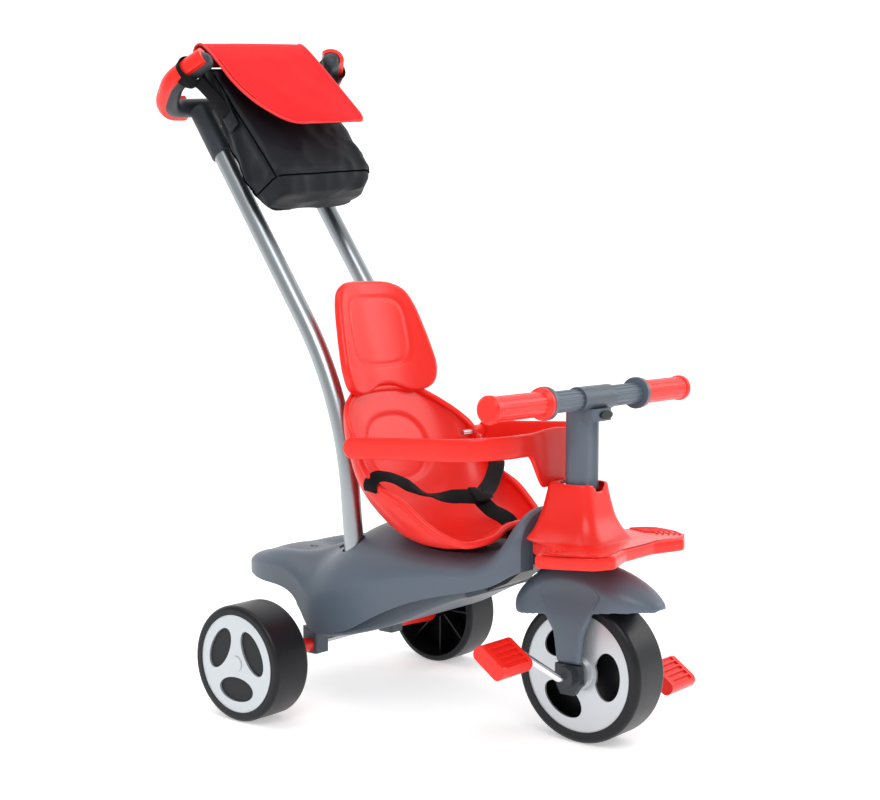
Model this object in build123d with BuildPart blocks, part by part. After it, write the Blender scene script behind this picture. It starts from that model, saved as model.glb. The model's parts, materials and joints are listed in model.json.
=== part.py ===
"""Children's tricycle with push handle, bucket seat, safety ring and storage bag.

Millimetres, +Z up, floor at z = 0. The tricycle faces -Y, the rider's right side is -X, and the
origin is on the floor, midway between the front and the rear wheel centres.
"""
from build123d import *
from math import cos, radians, sin
import os

os.makedirs("parts", exist_ok=True)

SIDES = (("right", -1), ("left", 1))

# ---------------------------------------------------------------- driving sizes
wheelbase = 422.0            # front wheel centre to rear wheel centre
rear_track = 490.0           # over the outer faces of the rear wheels
rear_wheel_radius = 80.7
rear_wheel_width = 63.5
front_wheel_radius = 95.1
front_wheel_width = 67.4
tread_thickness = 9.0
tread_shoulder = 8.0
disc_share = 0.84            # bright disc radius over wheel radius
disc_thickness = 3.2

axle_radius = 4.0            # steel rear axle
crank_radius = 5.0           # chromed crank wire
crank_throw = 47.5           # wheel centre to pedal spindle
crank_lean = 55.0            # right crank arm, degrees above the horizontal, to the rear
pedal_length = 62.0
pedal_depth = 52.0
pedal_thickness = 21.0
pedal_inner = 128.0          # middle of the tricycle to the pedal's inner end
pedal_tilt = 35.0

running_gap = 0.05           # radial clearance of a turning fit
seat_gap = 0.3               # clearance between loose neighbours
wall = 3.0                   # moulded plastic wall

steering_y = -195.0
steerer_radius = 13.0
head_tube_inner = 16.0
head_tube_outer = 20.0
head_tube_bottom = 244.0
head_tube_top = 331.0
bush_flange = 2.6
stem_bottom = head_tube_top + bush_flange + 0.3

bar_height = 454.8
bar_forward = 15.0           # handlebar centre ahead of the steering axis
bar_radius = 13.0
bar_half_length = 229.0
grip_start = 112.0
grip_radius = 16.0
flange_radius = 21.5
clamp_half_length = 37.0
clamp_radius = 16.5
stem_half_width = 23.5
stem_half_depth = 17.0
stem_top = 446.0

ring_pivot_y = 84.0
ring_pivot_z = 381.0
ring_front = 234.0           # pivot to the front wall
ring_rise = 3.0              # degrees, up towards the front
ring_thickness = 6.0
shield_below = 59.0
leg_half_width = 24.0

tube_radius = 14.0
tube_wall = 1.5
tube_spacing = 170.0         # between the centres of the push tubes
tube_lean = 34.5             # upper stretch, degrees from the vertical
tube_foot_lean = 5.0         # lower stretch
tube_bend = (152.0, 441.3)   # y, z where the two stretches would meet
tube_bend_radius = 510.0
tube_foot_z = 172.0
handle_z = 873.0             # height of the bow's crossbar

bow_turn = -9.0              # bow at rest, turned about the post
bow_half_width = 147.0
bow_bar_half = 132.0         # crossbar's corners
bow_tip_half = 114.0         # horn tips
bow_widest = 62.0            # crossbar to the widest place of the horns
bow_reach = 118.0            # crossbar to the horn tips
bow_radius = 14.0
bow_corner = 34.0
pad_thickness = 6.0
post_radius = 5.0
sleeve_wall = 3.0
sleeve_length = 84.0
bridge_thickness = 12.0

bag_half_width = 94.0
bag_shift = -8.0            # bag hangs towards the right horn
bag_back = 52.0              # crossbar to the bag's back panel
bag_depth = 60.0
bag_mouth_depth = 44.0
bag_bottom = -232.0          # along the tubes, below the crossbar
bag_wall = 2.0
flap_thickness = 2.4
flap_half_width = 91.0

front_wheel_y = -wheelbase / 2
rear_wheel_y = wheelbase / 2
front_disc_radius = front_wheel_radius * disc_share
rear_disc_radius = rear_wheel_radius * disc_share


def keep(builder, name):
    """Label a finished piece and write its STEP file."""
    builder.part.label = name
    export_step(builder.part, f"parts/{name}.step")


def axle_plane(y, z):
    """Plane through an axle line along X: local x is X, local y is Z."""
    return Plane(origin=(0, y, z), x_dir=(1, 0, 0), z_dir=(0, -1, 0))


def side_plane(x, y=0.0, z=0.0):
    """Upright plane across X: local x is Y, local y is Z."""
    return Plane(origin=(x, y, z), x_dir=(0, 1, 0), z_dir=(1, 0, 0))


def arches(sections, grow=0.0, lower=0.0):
    """Faces of arch sections (y, half width, top, lip), to loft one after the other."""
    faces = []
    for y, half_width, top, lip in sections:
        shoulder = lip + 0.4 * (top - lip)
        reach = half_width + grow
        with BuildSketch(Plane.XZ.offset(-y)) as arch:
            with BuildLine():
                Line((-reach, lip - lower), (reach, lip - lower))
                Line((reach, lip - lower), (reach, shoulder))
                EllipticalCenterArc((0, shoulder), reach, top + grow - shoulder, arc_size=180)
                Line((-reach, shoulder), (-reach, lip - lower))
            make_face()
        faces.append(arch.sketch.face())
    return faces


# ---------------------------------------------------------------- rear wheels and axle
rear_half = rear_track / 2
rear_inner = rear_half - rear_wheel_width
cap_radius = rear_disc_radius * 0.16
disc_back = rear_half - 1.5 - disc_thickness
web_thickness = 4.0
hub_radius = 12.0
nut_radius = 8.0
nut_thickness = 2.6
hub_recess = 5.0
rib_count = 8
window_radial = 0.25
window_tangential = 0.48
window_centre = 0.53

rear_axis = Axis((0, rear_wheel_y, rear_wheel_radius), (1, 0, 0))
for side, s in SIDES:
    with BuildPart() as core:
        with BuildSketch(axle_plane(rear_wheel_y, rear_wheel_radius)):
            with BuildLine():
                Polyline(
                    (s * rear_inner, rear_wheel_radius),
                    (s * rear_half, rear_wheel_radius),
                    (s * rear_half, rear_disc_radius + 0.2),
                    (s * disc_back, rear_disc_radius + 0.2),
                    (s * disc_back, 10.0),
                    (s * (disc_back - hub_recess), 10.0),
                    (s * (disc_back - hub_recess), axle_radius + running_gap),
                    (s * (rear_inner + 2), axle_radius + running_gap),
                    (s * (rear_inner + 2), hub_radius),
                    (s * (disc_back - hub_recess - 4), hub_radius),
                    (s * (disc_back - web_thickness), hub_radius + 4),
                    (s * (disc_back - web_thickness), rear_wheel_radius - tread_thickness),
                    (s * rear_inner, rear_wheel_radius - tread_thickness),
                    close=True,
                )
            make_face()
        revolve(axis=rear_axis)
        shoulders = core.edges().filter_by(GeomType.CIRCLE).filter_by(
            lambda edge: abs(edge.radius - rear_wheel_radius) < 0.01
        )
        fillet(shoulders, tread_shoulder * 0.8)
        rib_inner = rear_inner + 24
        rib_length = disc_back - web_thickness - rib_inner
        with BuildSketch(side_plane(s * rib_inner, rear_wheel_y, rear_wheel_radius)):
            with PolarLocations((hub_radius + rear_wheel_radius - tread_thickness) / 2, rib_count):
                Rectangle(rear_wheel_radius - tread_thickness - hub_radius + 1, 2.6)
        extrude(amount=s * rib_length)
    keep(core, f"rear_wheel_{side}")

    with BuildPart() as disc:
        with BuildSketch(side_plane(s * disc_back, rear_wheel_y, rear_wheel_radius)):
            Circle(rear_disc_radius)
            Circle(7.0, mode=Mode.SUBTRACT)
            with PolarLocations(rear_disc_radius * window_centre, 3, start_angle=30):
                Ellipse(
                    rear_disc_radius * window_radial,
                    rear_disc_radius * window_tangential,
                    mode=Mode.SUBTRACT,
                )
        extrude(amount=s * disc_thickness)
    keep(disc, f"rear_disc_{side}")

    with BuildPart() as cap:
        with BuildSketch(side_plane(s * (disc_back + disc_thickness), rear_wheel_y, rear_wheel_radius)):
            Circle(cap_radius)
        extrude(amount=s * 1.4)
        with BuildSketch(side_plane(s * (disc_back + disc_thickness), rear_wheel_y, rear_wheel_radius)):
            Circle(6.9)
            Circle(5.4, mode=Mode.SUBTRACT)
        extrude(amount=-s * (disc_thickness - 0.2))
    keep(cap, f"rear_cap_{side}")

axle_half = disc_back - 1.5
with BuildPart() as rear_axle:
    with BuildSketch(side_plane(-axle_half, rear_wheel_y, rear_wheel_radius)):
        Circle(axle_radius)
    extrude(amount=2 * axle_half)
keep(rear_axle, "rear_axle")

with BuildPart() as axle_nuts:
    for side, s in SIDES:
        nut_start = disc_back - hub_recess + seat_gap
        with BuildSketch(side_plane(s * nut_start, rear_wheel_y, rear_wheel_radius)):
            Circle(nut_radius)
            Circle(axle_radius, mode=Mode.SUBTRACT)
        extrude(amount=s * nut_thickness)
keep(axle_nuts, "axle_nuts")

bracket_outer = 98.0
bracket_inner = 70.0
for side, s in SIDES:
    with BuildPart() as bush:
        with BuildSketch(axle_plane(rear_wheel_y, rear_wheel_radius)):
            with BuildLine():
                Polyline(
                    (s * bracket_outer, axle_radius),
                    (s * bracket_outer, 10.0),
                    (s * (rear_inner - 6), 14.0),
                    (s * (rear_inner + 2 - seat_gap), 11.0),
                    (s * (rear_inner + 2 - seat_gap), axle_radius),
                    close=True,
                )
            make_face()
        revolve(axis=rear_axis)
    keep(bush, f"rear_bush_{side}")

# ---------------------------------------------------------------- body shell and chassis
seat_floor = 238.0           # outside of the seat's bottom
seat_sections = (
    # z, centre y, half depth, half width
    (seat_floor, -20, 55, 66),
    (254, -18, 80, 97),
    (275, -12, 92, 117),
    (300, -2, 101, 129),
    (335, 12, 105, 134),
    (360, 24, 105, 132),
    (400, 45, 104, 130),
    (448, 66, 101, 133),
)
shell_sections = (
    # y, half width, top, lip
    (350, 66, 200, 177),
    (336, 90, 212, 171),
    (302, 107, 223, 167),
    (255, 116, 229, 165),
    (215, 122, 224, 150),
    (180, 130, 228, 114),
    (145, 133, 250, 112),
    (110, 132, 264, 122),
    (70, 128, 262, 143),
    (25, 120, 256, 165),
    (-45, 104, 250, 187),
    (-85, 84, 248, 196),
    (-108, 72, 272, 206),
    (-136, 56, 300, 222),
)
chassis_sections = (
    # y, half width, top, bottom
    (236, 98, 176, 132),
    (205, 105, 168, 104),
    (170, 113, 134, 100),
    (120, 114, 140, 110),
    (37, 103, 180, 138),
    (-16, 93, 202, 164),
    (-60, 78, 210, 181),
)
tube_floor_y = tube_bend[0] - (tube_bend[1] - seat_floor) * sin(radians(tube_foot_lean))
inset_half_width = 58.0
inset_start = 148.0
inset_end = 190.0
beam_half_width = 27.0
beam_top = 272.0


def oval_faces(sections, grow=0.0, first_lift=0.0, last_lift=0.0):
    """Faces of the seat's ovals (z, centre y, half depth, half width), to loft."""
    faces = []
    for z, centre, half_depth, half_width in sections:
        lift = first_lift * (z == sections[0][0]) + last_lift * (z == sections[-1][0])
        with BuildSketch(Plane.XY.offset(z + lift)) as oval:
            with Locations((0, centre)):
                Ellipse(half_width + grow, half_depth + grow)
        faces.append(oval.sketch.face())
    return faces


inner_sections = [
    (y - wall * (y == shell_sections[0][0]) + wall * (y == shell_sections[-1][0]), w, t, l)
    for y, w, t, l in shell_sections
]
with BuildPart() as shell_cavity:
    loft(sections=arches(inner_sections, grow=-wall, lower=4.0))
    loft(
        sections=oval_faces(seat_sections, grow=seat_gap + wall, first_lift=-seat_gap - wall),
        mode=Mode.SUBTRACT,
    )

with BuildPart() as body_shell:
    loft(sections=arches(shell_sections))
    loft(sections=oval_faces(seat_sections, grow=seat_gap, first_lift=-seat_gap), mode=Mode.SUBTRACT)
    add(shell_cavity.part, mode=Mode.SUBTRACT)
    for side, s in SIDES:
        with BuildSketch(Plane.XY.offset(180)):
            with Locations((s * tube_spacing / 2, tube_floor_y)):
                Ellipse(tube_radius + 1.2, tube_radius + 3.5)
        extrude(amount=100, mode=Mode.SUBTRACT)
    with BuildSketch(Plane.XY.offset(200)):
        with Locations((0, (inset_start + inset_end) / 2)):
            RectangleRounded(2 * inset_half_width, inset_end - inset_start, 6)
    extrude(amount=100, mode=Mode.SUBTRACT)
    with BuildSketch(Plane.XY.offset(200)):
        with Locations((0, 20), (0, -40)):
            Circle(3.2)
    extrude(amount=60, mode=Mode.SUBTRACT)
    with BuildSketch(side_plane(-beam_half_width - seat_gap)):
        with Locations((-105, 200)):
            Rectangle(90, 2 * (beam_top - 200))
    extrude(amount=2 * (beam_half_width + seat_gap), mode=Mode.SUBTRACT)
keep(body_shell, "body_shell")

with BuildPart() as under_chassis:
    for y, half_width, top, bottom in chassis_sections:
        with BuildSketch(Plane.XZ.offset(-y)):
            with Locations((0, (top + bottom) / 2)):
                RectangleRounded(2 * half_width, top - bottom, 8)
    loft()
    for y, half_width, top, bottom in chassis_sections:
        rear_end = y == chassis_sections[0][0]
        front_end = y == chassis_sections[-1][0]
        inner_y = y - wall * rear_end + wall * front_end
        with BuildSketch(Plane.XZ.offset(-inner_y)):
            with Locations((0, (top + 20 + bottom + wall) / 2)):
                Rectangle(2 * (half_width - wall), top + 20 - bottom - wall)
    loft(mode=Mode.SUBTRACT)
    for side, s in SIDES:
        bracket_middle = s * (bracket_inner + bracket_outer) / 2
        with BuildSketch(Plane.XY.offset(68)):
            with Locations((bracket_middle, rear_wheel_y)):
                RectangleRounded(bracket_outer - bracket_inner, 28, 4)
        extrude(amount=38)
    with BuildSketch(side_plane(-bracket_outer - 5, rear_wheel_y, rear_wheel_radius)):
        Circle(axle_radius)
    extrude(amount=2 * bracket_outer + 10, mode=Mode.SUBTRACT)
keep(under_chassis, "under_chassis")

chassis_front = chassis_sections[-1][0]
with BuildPart() as front_beam:
    with BuildSketch(side_plane(-beam_half_width)):
        with BuildLine():
            Polyline(
                (chassis_front, 183),
                (-92, 197),
                (-112, 213),
                (-135, 228),
                (-156, 238),
                (-172, head_tube_bottom),
                (steering_y, head_tube_bottom),
                (steering_y, beam_top),
                (-140, beam_top - 8),
                (-105, 240),
                (chassis_front, 204),
                close=True,
            )
        make_face()
    extrude(amount=2 * beam_half_width)
    with BuildSketch(Plane.XY.offset(head_tube_bottom)):
        with Locations((0, steering_y)):
            Circle(head_tube_outer)
    extrude(amount=head_tube_top - head_tube_bottom)
    with BuildSketch(Plane.XY.offset(head_tube_bottom - 10)):
        with Locations((0, steering_y)):
            Circle(head_tube_inner)
    extrude(amount=head_tube_top - head_tube_bottom + 20, mode=Mode.SUBTRACT)
keep(front_beam, "front_beam")

for name, z, up in (("lower", head_tube_bottom, -1), ("upper", head_tube_top, 1)):
    with BuildPart() as bush:
        with BuildSketch(Plane.XY.offset(z)):
            with Locations((0, steering_y)):
                Circle(head_tube_inner)
        extrude(amount=-up * 14)
        with BuildSketch(Plane.XY.offset(z)):
            with Locations((0, steering_y)):
                Circle(head_tube_outer - 1)
        extrude(amount=up * bush_flange)
        with BuildSketch(Plane.XY.offset(z - 20)):
            with Locations((0, steering_y)):
                Circle(steerer_radius + running_gap)
        extrude(amount=40, mode=Mode.SUBTRACT)
    keep(bush, f"head_bush_{name}")

# ---------------------------------------------------------------- steering cowl with footrests
cowl_top = 343.0
cowl_y = steering_y + 6

cowl_base = 270.0
footrest_bottom = 250.0
footrest_top = 268.0
cowl_sections = ((cowl_base, 46.0, 50.0, 22.0), (300.0, 39.0, 42.0, 19.0), (cowl_top, 32.0, 33.0, 16.0))

footrest_side = (
    (34, -286),
    (84, -302),
    (112, -290),
    (133, -246),
    (140, -209),
    (86, -193),
    (62, -160),
    (44, -147),
)
footrest_outline = footrest_side + tuple((-x, y) for x, y in reversed(footrest_side))

with BuildPart() as cowl:
    with BuildSketch(Plane.XY.offset(footrest_bottom)):
        Polygon(*footrest_outline, align=None)
        fillet(vertices(), 9)
    extrude(amount=footrest_top - footrest_bottom)
    fillet(faces().sort_by(Axis.Z)[-1].edges(), 4)
    for z, half_x, half_y, corner in ((footrest_top - 8, 50.0, 52.0, 24.0),) + cowl_sections:
        with BuildSketch(Plane.XY.offset(z)):
            with Locations((0, cowl_y)):
                RectangleRounded(2 * half_x, 2 * half_y, corner)
    loft()
    for z, half_x, half_y, corner in ((footrest_bottom - 6, 52.0, 54.0, 24.0),) + cowl_sections:
        cut_z = z if z < cowl_top else cowl_top - wall
        with BuildSketch(Plane.XY.offset(cut_z)):
            with Locations((0, cowl_y)):
                RectangleRounded(2 * (half_x - wall), 2 * (half_y - wall), corner - wall)
    loft(mode=Mode.SUBTRACT)
    with BuildSketch(Plane.XY.offset(cowl_top - 10)):
        with Locations((0, steering_y)):
            Circle(28.5)
    extrude(amount=20, mode=Mode.SUBTRACT)
    with BuildSketch(Plane.XY.offset(footrest_bottom - 1)):
        with Locations((0, steering_y + 40)):
            Rectangle(2 * (beam_half_width + seat_gap), 70)
    extrude(amount=beam_top + seat_gap - footrest_bottom + 1, mode=Mode.SUBTRACT)
    leg_tip_z = ring_pivot_z + ring_front * sin(radians(ring_rise)) - shield_below
    leg_lean = shield_below * sin(radians(ring_rise))
    leg_front_y = ring_pivot_y - ring_front - leg_lean - ring_thickness / 2 - 2
    with BuildSketch(Plane.XY.offset(leg_tip_z - 1.5)):
        with Locations((0, leg_front_y + 20)):
            Rectangle(2 * (leg_half_width + 10), 40)
    extrude(amount=40, mode=Mode.SUBTRACT)
keep(cowl, "cowl_footrest")

# ---------------------------------------------------------------- seat
seat_wall = 4.0
rim_points = (
    (-130, 266),
    (-95, 265),
    (-71, 271),
    (-46, 282),
    (-11, 302),
    (25, 322),
    (57, 338),
    (80, 362),
    (97, 396),
    (118, 440),
    (150, 484),
)
ring_half_width = 150.0
pin_radius = 4.0

strap_width = 24.0
strap_thickness = 1.6
strap_slot_gap = 0.5
waist_path = ((122, 72, 350), (104, 50, 333), (86, 28, 317), (50, -8, 300), (20, -40, 301))
crotch_path = ((0, -67, 299), (0, -80, 283), (0, -90, 268), (0, -100, 248))
strap_routes = (
    ("waist_strap_right", tuple((-x, y, z) for x, y, z in waist_path), (0.3, -0.5, 0.8)),
    ("waist_strap_left", waist_path, (-0.3, -0.5, 0.8)),
    ("crotch_strap", crotch_path, (0, -0.8, 0.4)),
)


def webbing(points, flat, grow=0.0):
    """A webbing strap along a smooth line, with its flat side facing flat."""
    with BuildPart() as band:
        with BuildLine() as route:
            Spline(*points)
        heading = route.line % 0
        with BuildSketch(Plane(origin=route.line @ 0, x_dir=Vector(*flat).cross(heading), z_dir=heading)):
            Rectangle(strap_width + 2 * grow, strap_thickness + 2 * grow)
        sweep(path=route.line)
    return band


neck_half_width = 40.0
neck_thickness = 6.0
head_lean = 14.0
head_origin = (0, 150, 448)
head_thickness = 15.0
head_plane = Plane(
    origin=head_origin,
    x_dir=(1, 0, 0),
    z_dir=(0, -cos(radians(head_lean)), sin(radians(head_lean))),
)

back_top = 452.0
back_half_width = 136.0
back_corner = 72.0
with BuildPart() as seat_shell:
    loft(sections=oval_faces(seat_sections))
    loft(
        sections=oval_faces(seat_sections, grow=-seat_wall, first_lift=seat_wall, last_lift=0.5),
        mode=Mode.SUBTRACT,
    )
    back_bottom = seat_floor - 2 * back_corner
    with BuildSketch(Plane.XZ.offset(-200)):
        with Locations((0, (back_top + back_bottom) / 2)):
            RectangleRounded(2 * back_half_width, back_top - back_bottom, back_corner)
    extrude(amount=400, mode=Mode.INTERSECT)
    with BuildSketch(side_plane(-160)):
        with BuildLine():
            rim = Spline(*rim_points)
            Polyline(rim @ 1, (150, 520), (-160, 520), (-160, 266), rim @ 0)
        make_face()
    extrude(amount=320, mode=Mode.SUBTRACT)
    for side, s in SIDES:
        with BuildSketch(side_plane(s * 86, ring_pivot_y + 1, ring_pivot_z)):
            RectangleRounded(16, 18, 4)
        extrude(amount=s * (ring_half_width - ring_thickness / 2 - 86 - seat_gap))
    with BuildSketch(side_plane(-160, ring_pivot_y, ring_pivot_z)):
        Circle(pin_radius)
    extrude(amount=320, mode=Mode.SUBTRACT)
    with BuildSketch(Plane.XY.offset(230)):
        with Locations((0, 20), (0, -40)):
            Circle(3.0)
    extrude(amount=14, mode=Mode.SUBTRACT)
    with BuildSketch(head_plane.offset(-head_thickness / 2 - seat_gap)):
        with Locations((0, 8)):
            RectangleRounded(2 * neck_half_width, 60, 8)
    extrude(amount=-neck_thickness)
    for name, points, flat in strap_routes:
        add(webbing(points, flat, strap_slot_gap).part, mode=Mode.SUBTRACT)
keep(seat_shell, "seat_shell")

with BuildPart() as seat_bolts:
    with BuildSketch(Plane.XY.offset(seat_floor - seat_gap - wall - 4.5)):
        with Locations((0, 20), (0, -40)):
            RegularPolygon(5.5, 6)
    extrude(amount=4)
    with BuildSketch(Plane.XY.offset(seat_floor - seat_gap - wall - 4.5)):
        with Locations((0, 20), (0, -40)):
            Circle(3.0)
    extrude(amount=14.5)
keep(seat_bolts, "seat_bolts")

head_height = 162.0
head_arc_radius = 230.0
with BuildPart() as headrest:
    with BuildSketch(head_plane.offset(-40)):
        with BuildLine():
            edge = Spline(
                (0, head_height),
                (48, head_height - 3),
                (78, head_height - 22),
                (93, head_height - 70),
                (102, 38),
                (78, 5),
                (40, 4),
                (0, 12),
                tangents=((1, 0), (-1, 0)),
            )
            mirror(edge, about=Plane.YZ)
        make_face()
    extrude(amount=100)
    with BuildSketch(Plane(origin=head_origin, x_dir=(1, 0, 0), z_dir=head_plane.y_dir).offset(-200)):
        with Locations((0, -head_arc_radius)):
            Circle(head_arc_radius + head_thickness / 2)
            Circle(head_arc_radius - head_thickness / 2, mode=Mode.SUBTRACT)
    extrude(amount=500, mode=Mode.INTERSECT)
keep(headrest, "headrest")

# ---------------------------------------------------------------- safety ring
ring_plane = Plane(
    origin=(0, ring_pivot_y, ring_pivot_z),
    x_dir=(1, 0, 0),
    z_dir=(0, sin(radians(ring_rise)), cos(radians(ring_rise))),
)
ring_height = 30.0
shield_half_width = 60.0
shield_above = 19.0
ring_corner = 70.0
ring_outline = (
    (-ring_half_width, 8),
    (-ring_half_width, -ring_front),
    (ring_half_width, -ring_front),
    (ring_half_width, 8),
)
shield_side = (
    (leg_half_width + 8, shield_above),
    (shield_half_width, ring_height / 2 - 1),
    (shield_half_width, -ring_height / 2),
    (shield_half_width - 16, -ring_height / 2 - 14),
    (leg_half_width + 4, -shield_below + 6),
    (leg_half_width - 4, -shield_below),
)
with BuildPart() as seat_ring:
    with BuildSketch(ring_plane.offset(-ring_height / 2)):
        with BuildLine():
            FilletPolyline(*ring_outline, radius=ring_corner)
        trace(line_width=ring_thickness)
    extrude(amount=ring_height)
    shield_at = ring_plane.from_local_coords((0, -ring_front + ring_thickness / 2, 0))
    with BuildSketch(Plane(origin=shield_at, x_dir=(1, 0, 0), z_dir=-ring_plane.y_dir)):
        Polygon(*(shield_side + tuple((-x, z) for x, z in reversed(shield_side))), align=None)
    extrude(amount=ring_thickness)
    with BuildSketch(side_plane(-160, ring_pivot_y, ring_pivot_z)):
        Circle(pin_radius + running_gap)
    extrude(amount=320, mode=Mode.SUBTRACT)
keep(seat_ring, "seat_ring")

with BuildPart() as ring_pins:
    for side, s in SIDES:
        with BuildSketch(side_plane(s * 100, ring_pivot_y, ring_pivot_z)):
            Circle(pin_radius)
        extrude(amount=s * (ring_half_width + ring_thickness / 2 - 100))
keep(ring_pins, "ring_pins")

# ---------------------------------------------------------------- harness
buckle_at = (0, -52, 301)
for name, points, flat in strap_routes:
    keep(webbing(points, flat), name)
with BuildPart() as buckle:
    with BuildSketch(Plane.XY.offset(buckle_at[2] - 5)):
        with Locations(buckle_at[:2]):
            RectangleRounded(34, 34, 8)
    extrude(amount=9)
    for name, points, flat in strap_routes:
        add(webbing(points, flat, 0.05).part, mode=Mode.SUBTRACT)
keep(buckle, "buckle")

# ---------------------------------------------------------------- push tubes and bow handle
lean = radians(tube_lean)
foot = radians(tube_foot_lean)
handle_rise = (handle_z - tube_bend[1]) / cos(lean)
handle_y = tube_bend[0] + handle_rise * sin(lean)
handle_plane = Plane(origin=(0, handle_y, handle_z), x_dir=(1, 0, 0), z_dir=(0, sin(lean), cos(lean)))
bow_turn_cos = cos(radians(bow_turn))
bow_turn_sin = sin(radians(bow_turn))
bow_plane = Plane(
    origin=handle_plane.origin,
    x_dir=handle_plane.x_dir * bow_turn_cos + handle_plane.y_dir * bow_turn_sin,
    z_dir=handle_plane.z_dir,
)
bridge_top = -(bow_radius + seat_gap)
bridge_bottom = bridge_top - bridge_thickness
tube_top = bridge_bottom - 1.0
foot_drop = (tube_bend[1] - tube_foot_z) / cos(foot)


def tube_line(x):
    """Corner points of a push tube's centre line, foot first."""
    top_reach = handle_rise + tube_top
    return (
        (x, tube_bend[0] - foot_drop * sin(foot), tube_foot_z),
        (x, tube_bend[0], tube_bend[1]),
        (x, tube_bend[0] + top_reach * sin(lean), tube_bend[1] + top_reach * cos(lean)),
    )


for side, s in SIDES:
    with BuildPart() as tube:
        with BuildLine() as route:
            FilletPolyline(*tube_line(s * tube_spacing / 2), radius=tube_bend_radius)
        with BuildSketch(Plane(origin=route.line @ 0, z_dir=route.line % 0)):
            Circle(tube_radius)
            Circle(tube_radius - tube_wall, mode=Mode.SUBTRACT)
        sweep(path=route.line)
    keep(tube, f"push_tube_{side}")

    with BuildPart() as sleeve:
        with BuildSketch(handle_plane.offset(bridge_bottom - sleeve_length + bridge_thickness)):
            with Locations((s * tube_spacing / 2, 0)):
                Circle(tube_radius + sleeve_wall)
        extrude(amount=sleeve_length - bridge_thickness)
        with BuildSketch(handle_plane.offset(bridge_bottom - sleeve_length + bridge_thickness - 1)):
            with Locations((s * tube_spacing / 2, 0)):
                Circle(tube_radius)
        extrude(amount=sleeve_length - bridge_thickness + 2, mode=Mode.SUBTRACT)
    keep(sleeve, f"handle_sleeve_{side}")

with BuildPart() as bridge:
    with BuildSketch(handle_plane.offset(bridge_bottom)):
        SlotOverall(tube_spacing + 2 * (tube_radius + sleeve_wall), 2 * (tube_radius + sleeve_wall))
    extrude(amount=bridge_thickness)
    with BuildSketch(handle_plane.offset(bridge_top)):
        Circle(post_radius)
    extrude(amount=2 * bow_radius + 5)
keep(bridge, "handle_bridge")

with BuildPart() as tube_socket:
    with BuildSketch(Plane.XY.offset(150)):
        with Locations((-tube_spacing / 2, tube_floor_y), (tube_spacing / 2, tube_floor_y)):
            RectangleRounded(40, 44, 10)
        with Locations((0, (inset_start + inset_end) / 2 - 8)):
            Rectangle(tube_spacing, 34)
    extrude(amount=56)
    with BuildSketch(Plane.XY.offset(149)):
        with Locations((0, (inset_start + inset_end) / 2 - 8)):
            Rectangle(tube_spacing - 50, 26)
    extrude(amount=50, mode=Mode.SUBTRACT)
    with BuildSketch(side_plane(-inset_half_width + 2)):
        with BuildLine():
            Polyline(
                (inset_start + 1.5, 200),
                (inset_end - 1.5, 200),
                (inset_end - 1.5, 221),
                (inset_start + 1.5, 241),
                close=True,
            )
        make_face()
    extrude(amount=2 * inset_half_width - 4)
    for side, s in SIDES:
        with BuildLine() as bore:
            Line(*tube_line(s * tube_spacing / 2)[:2])
        with BuildSketch(Plane(origin=bore.line @ 0, z_dir=bore.line % 0)):
            Circle(tube_radius)
        extrude(amount=80, mode=Mode.SUBTRACT)
keep(tube_socket, "tube_socket")

horn_outline = ((bow_tip_half, -bow_reach), (bow_half_width, -bow_widest), (bow_bar_half, 0))
bow_outline = tuple((-x, v) for x, v in horn_outline) + tuple(reversed(horn_outline))
with BuildPart() as handle_bow:
    with BuildLine(bow_plane) as route:
        FilletPolyline(*bow_outline, radius=bow_corner)
    with BuildSketch(Plane(origin=route.line @ 0, z_dir=route.line % 0)):
        Circle(bow_radius)
    sweep(path=route.line)
    tips = handle_bow.edges().filter_by(GeomType.CIRCLE).filter_by(
        lambda edge: abs(edge.radius - bow_radius) < 0.01
    )
    fillet([tips.sort_by_distance(route.line @ end)[0] for end in (0, 1)], bow_radius - 2)
    with BuildSketch(bow_plane.offset(-bow_radius - 1)):
        Circle(post_radius + running_gap)
    extrude(amount=2 * bow_radius + 2, mode=Mode.SUBTRACT)
keep(handle_bow, "handle_bow")

with BuildPart() as post_nut:
    with BuildSketch(handle_plane.offset(bow_radius + seat_gap)):
        Circle(9.0)
        Circle(post_radius, mode=Mode.SUBTRACT)
    extrude(amount=4)
keep(post_nut, "post_nut")

for side, s in SIDES:
    with BuildPart() as pad:
        with BuildLine(bow_plane) as route:
            FilletPolyline(
                (s * (0.9 * bow_tip_half + 0.1 * bow_half_width), -0.9 * bow_reach - 0.1 * bow_widest),
                (s * bow_half_width, -bow_widest),
                (s * bow_bar_half, 0),
                (s * (bow_bar_half - bow_corner - 6), 0),
                radius=bow_corner,
            )
        start = route.line @ 0
        heading = route.line % 0
        with BuildSketch(Plane(origin=start, x_dir=bow_plane.z_dir, z_dir=heading)) as ring_sketch:
            Circle(bow_radius + pad_thickness)
            Circle(bow_radius, mode=Mode.SUBTRACT)
            with Locations((0, -s * 26)):
                Rectangle(60, 40, mode=Mode.SUBTRACT)
            with Locations((-30, 0)):
                Rectangle(40, 60, mode=Mode.SUBTRACT)
        sweep(path=route.line)
    keep(pad, f"grip_pad_{side}")

# ---------------------------------------------------------------- storage bag
rim_back = 32.0              # height of the back panel above the crossbar
rim_front = -6.0
flap_fold = (-90.0, 50.0)
flap_end = (-140.0, -134.0)


def across_bow(x):
    """Plane across the bow: local x points back along the bow, local y up along the tubes."""
    return Plane(
        origin=bow_plane.origin + bow_plane.x_dir * x,
        x_dir=bow_plane.y_dir,
        z_dir=bow_plane.x_dir,
    )


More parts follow.
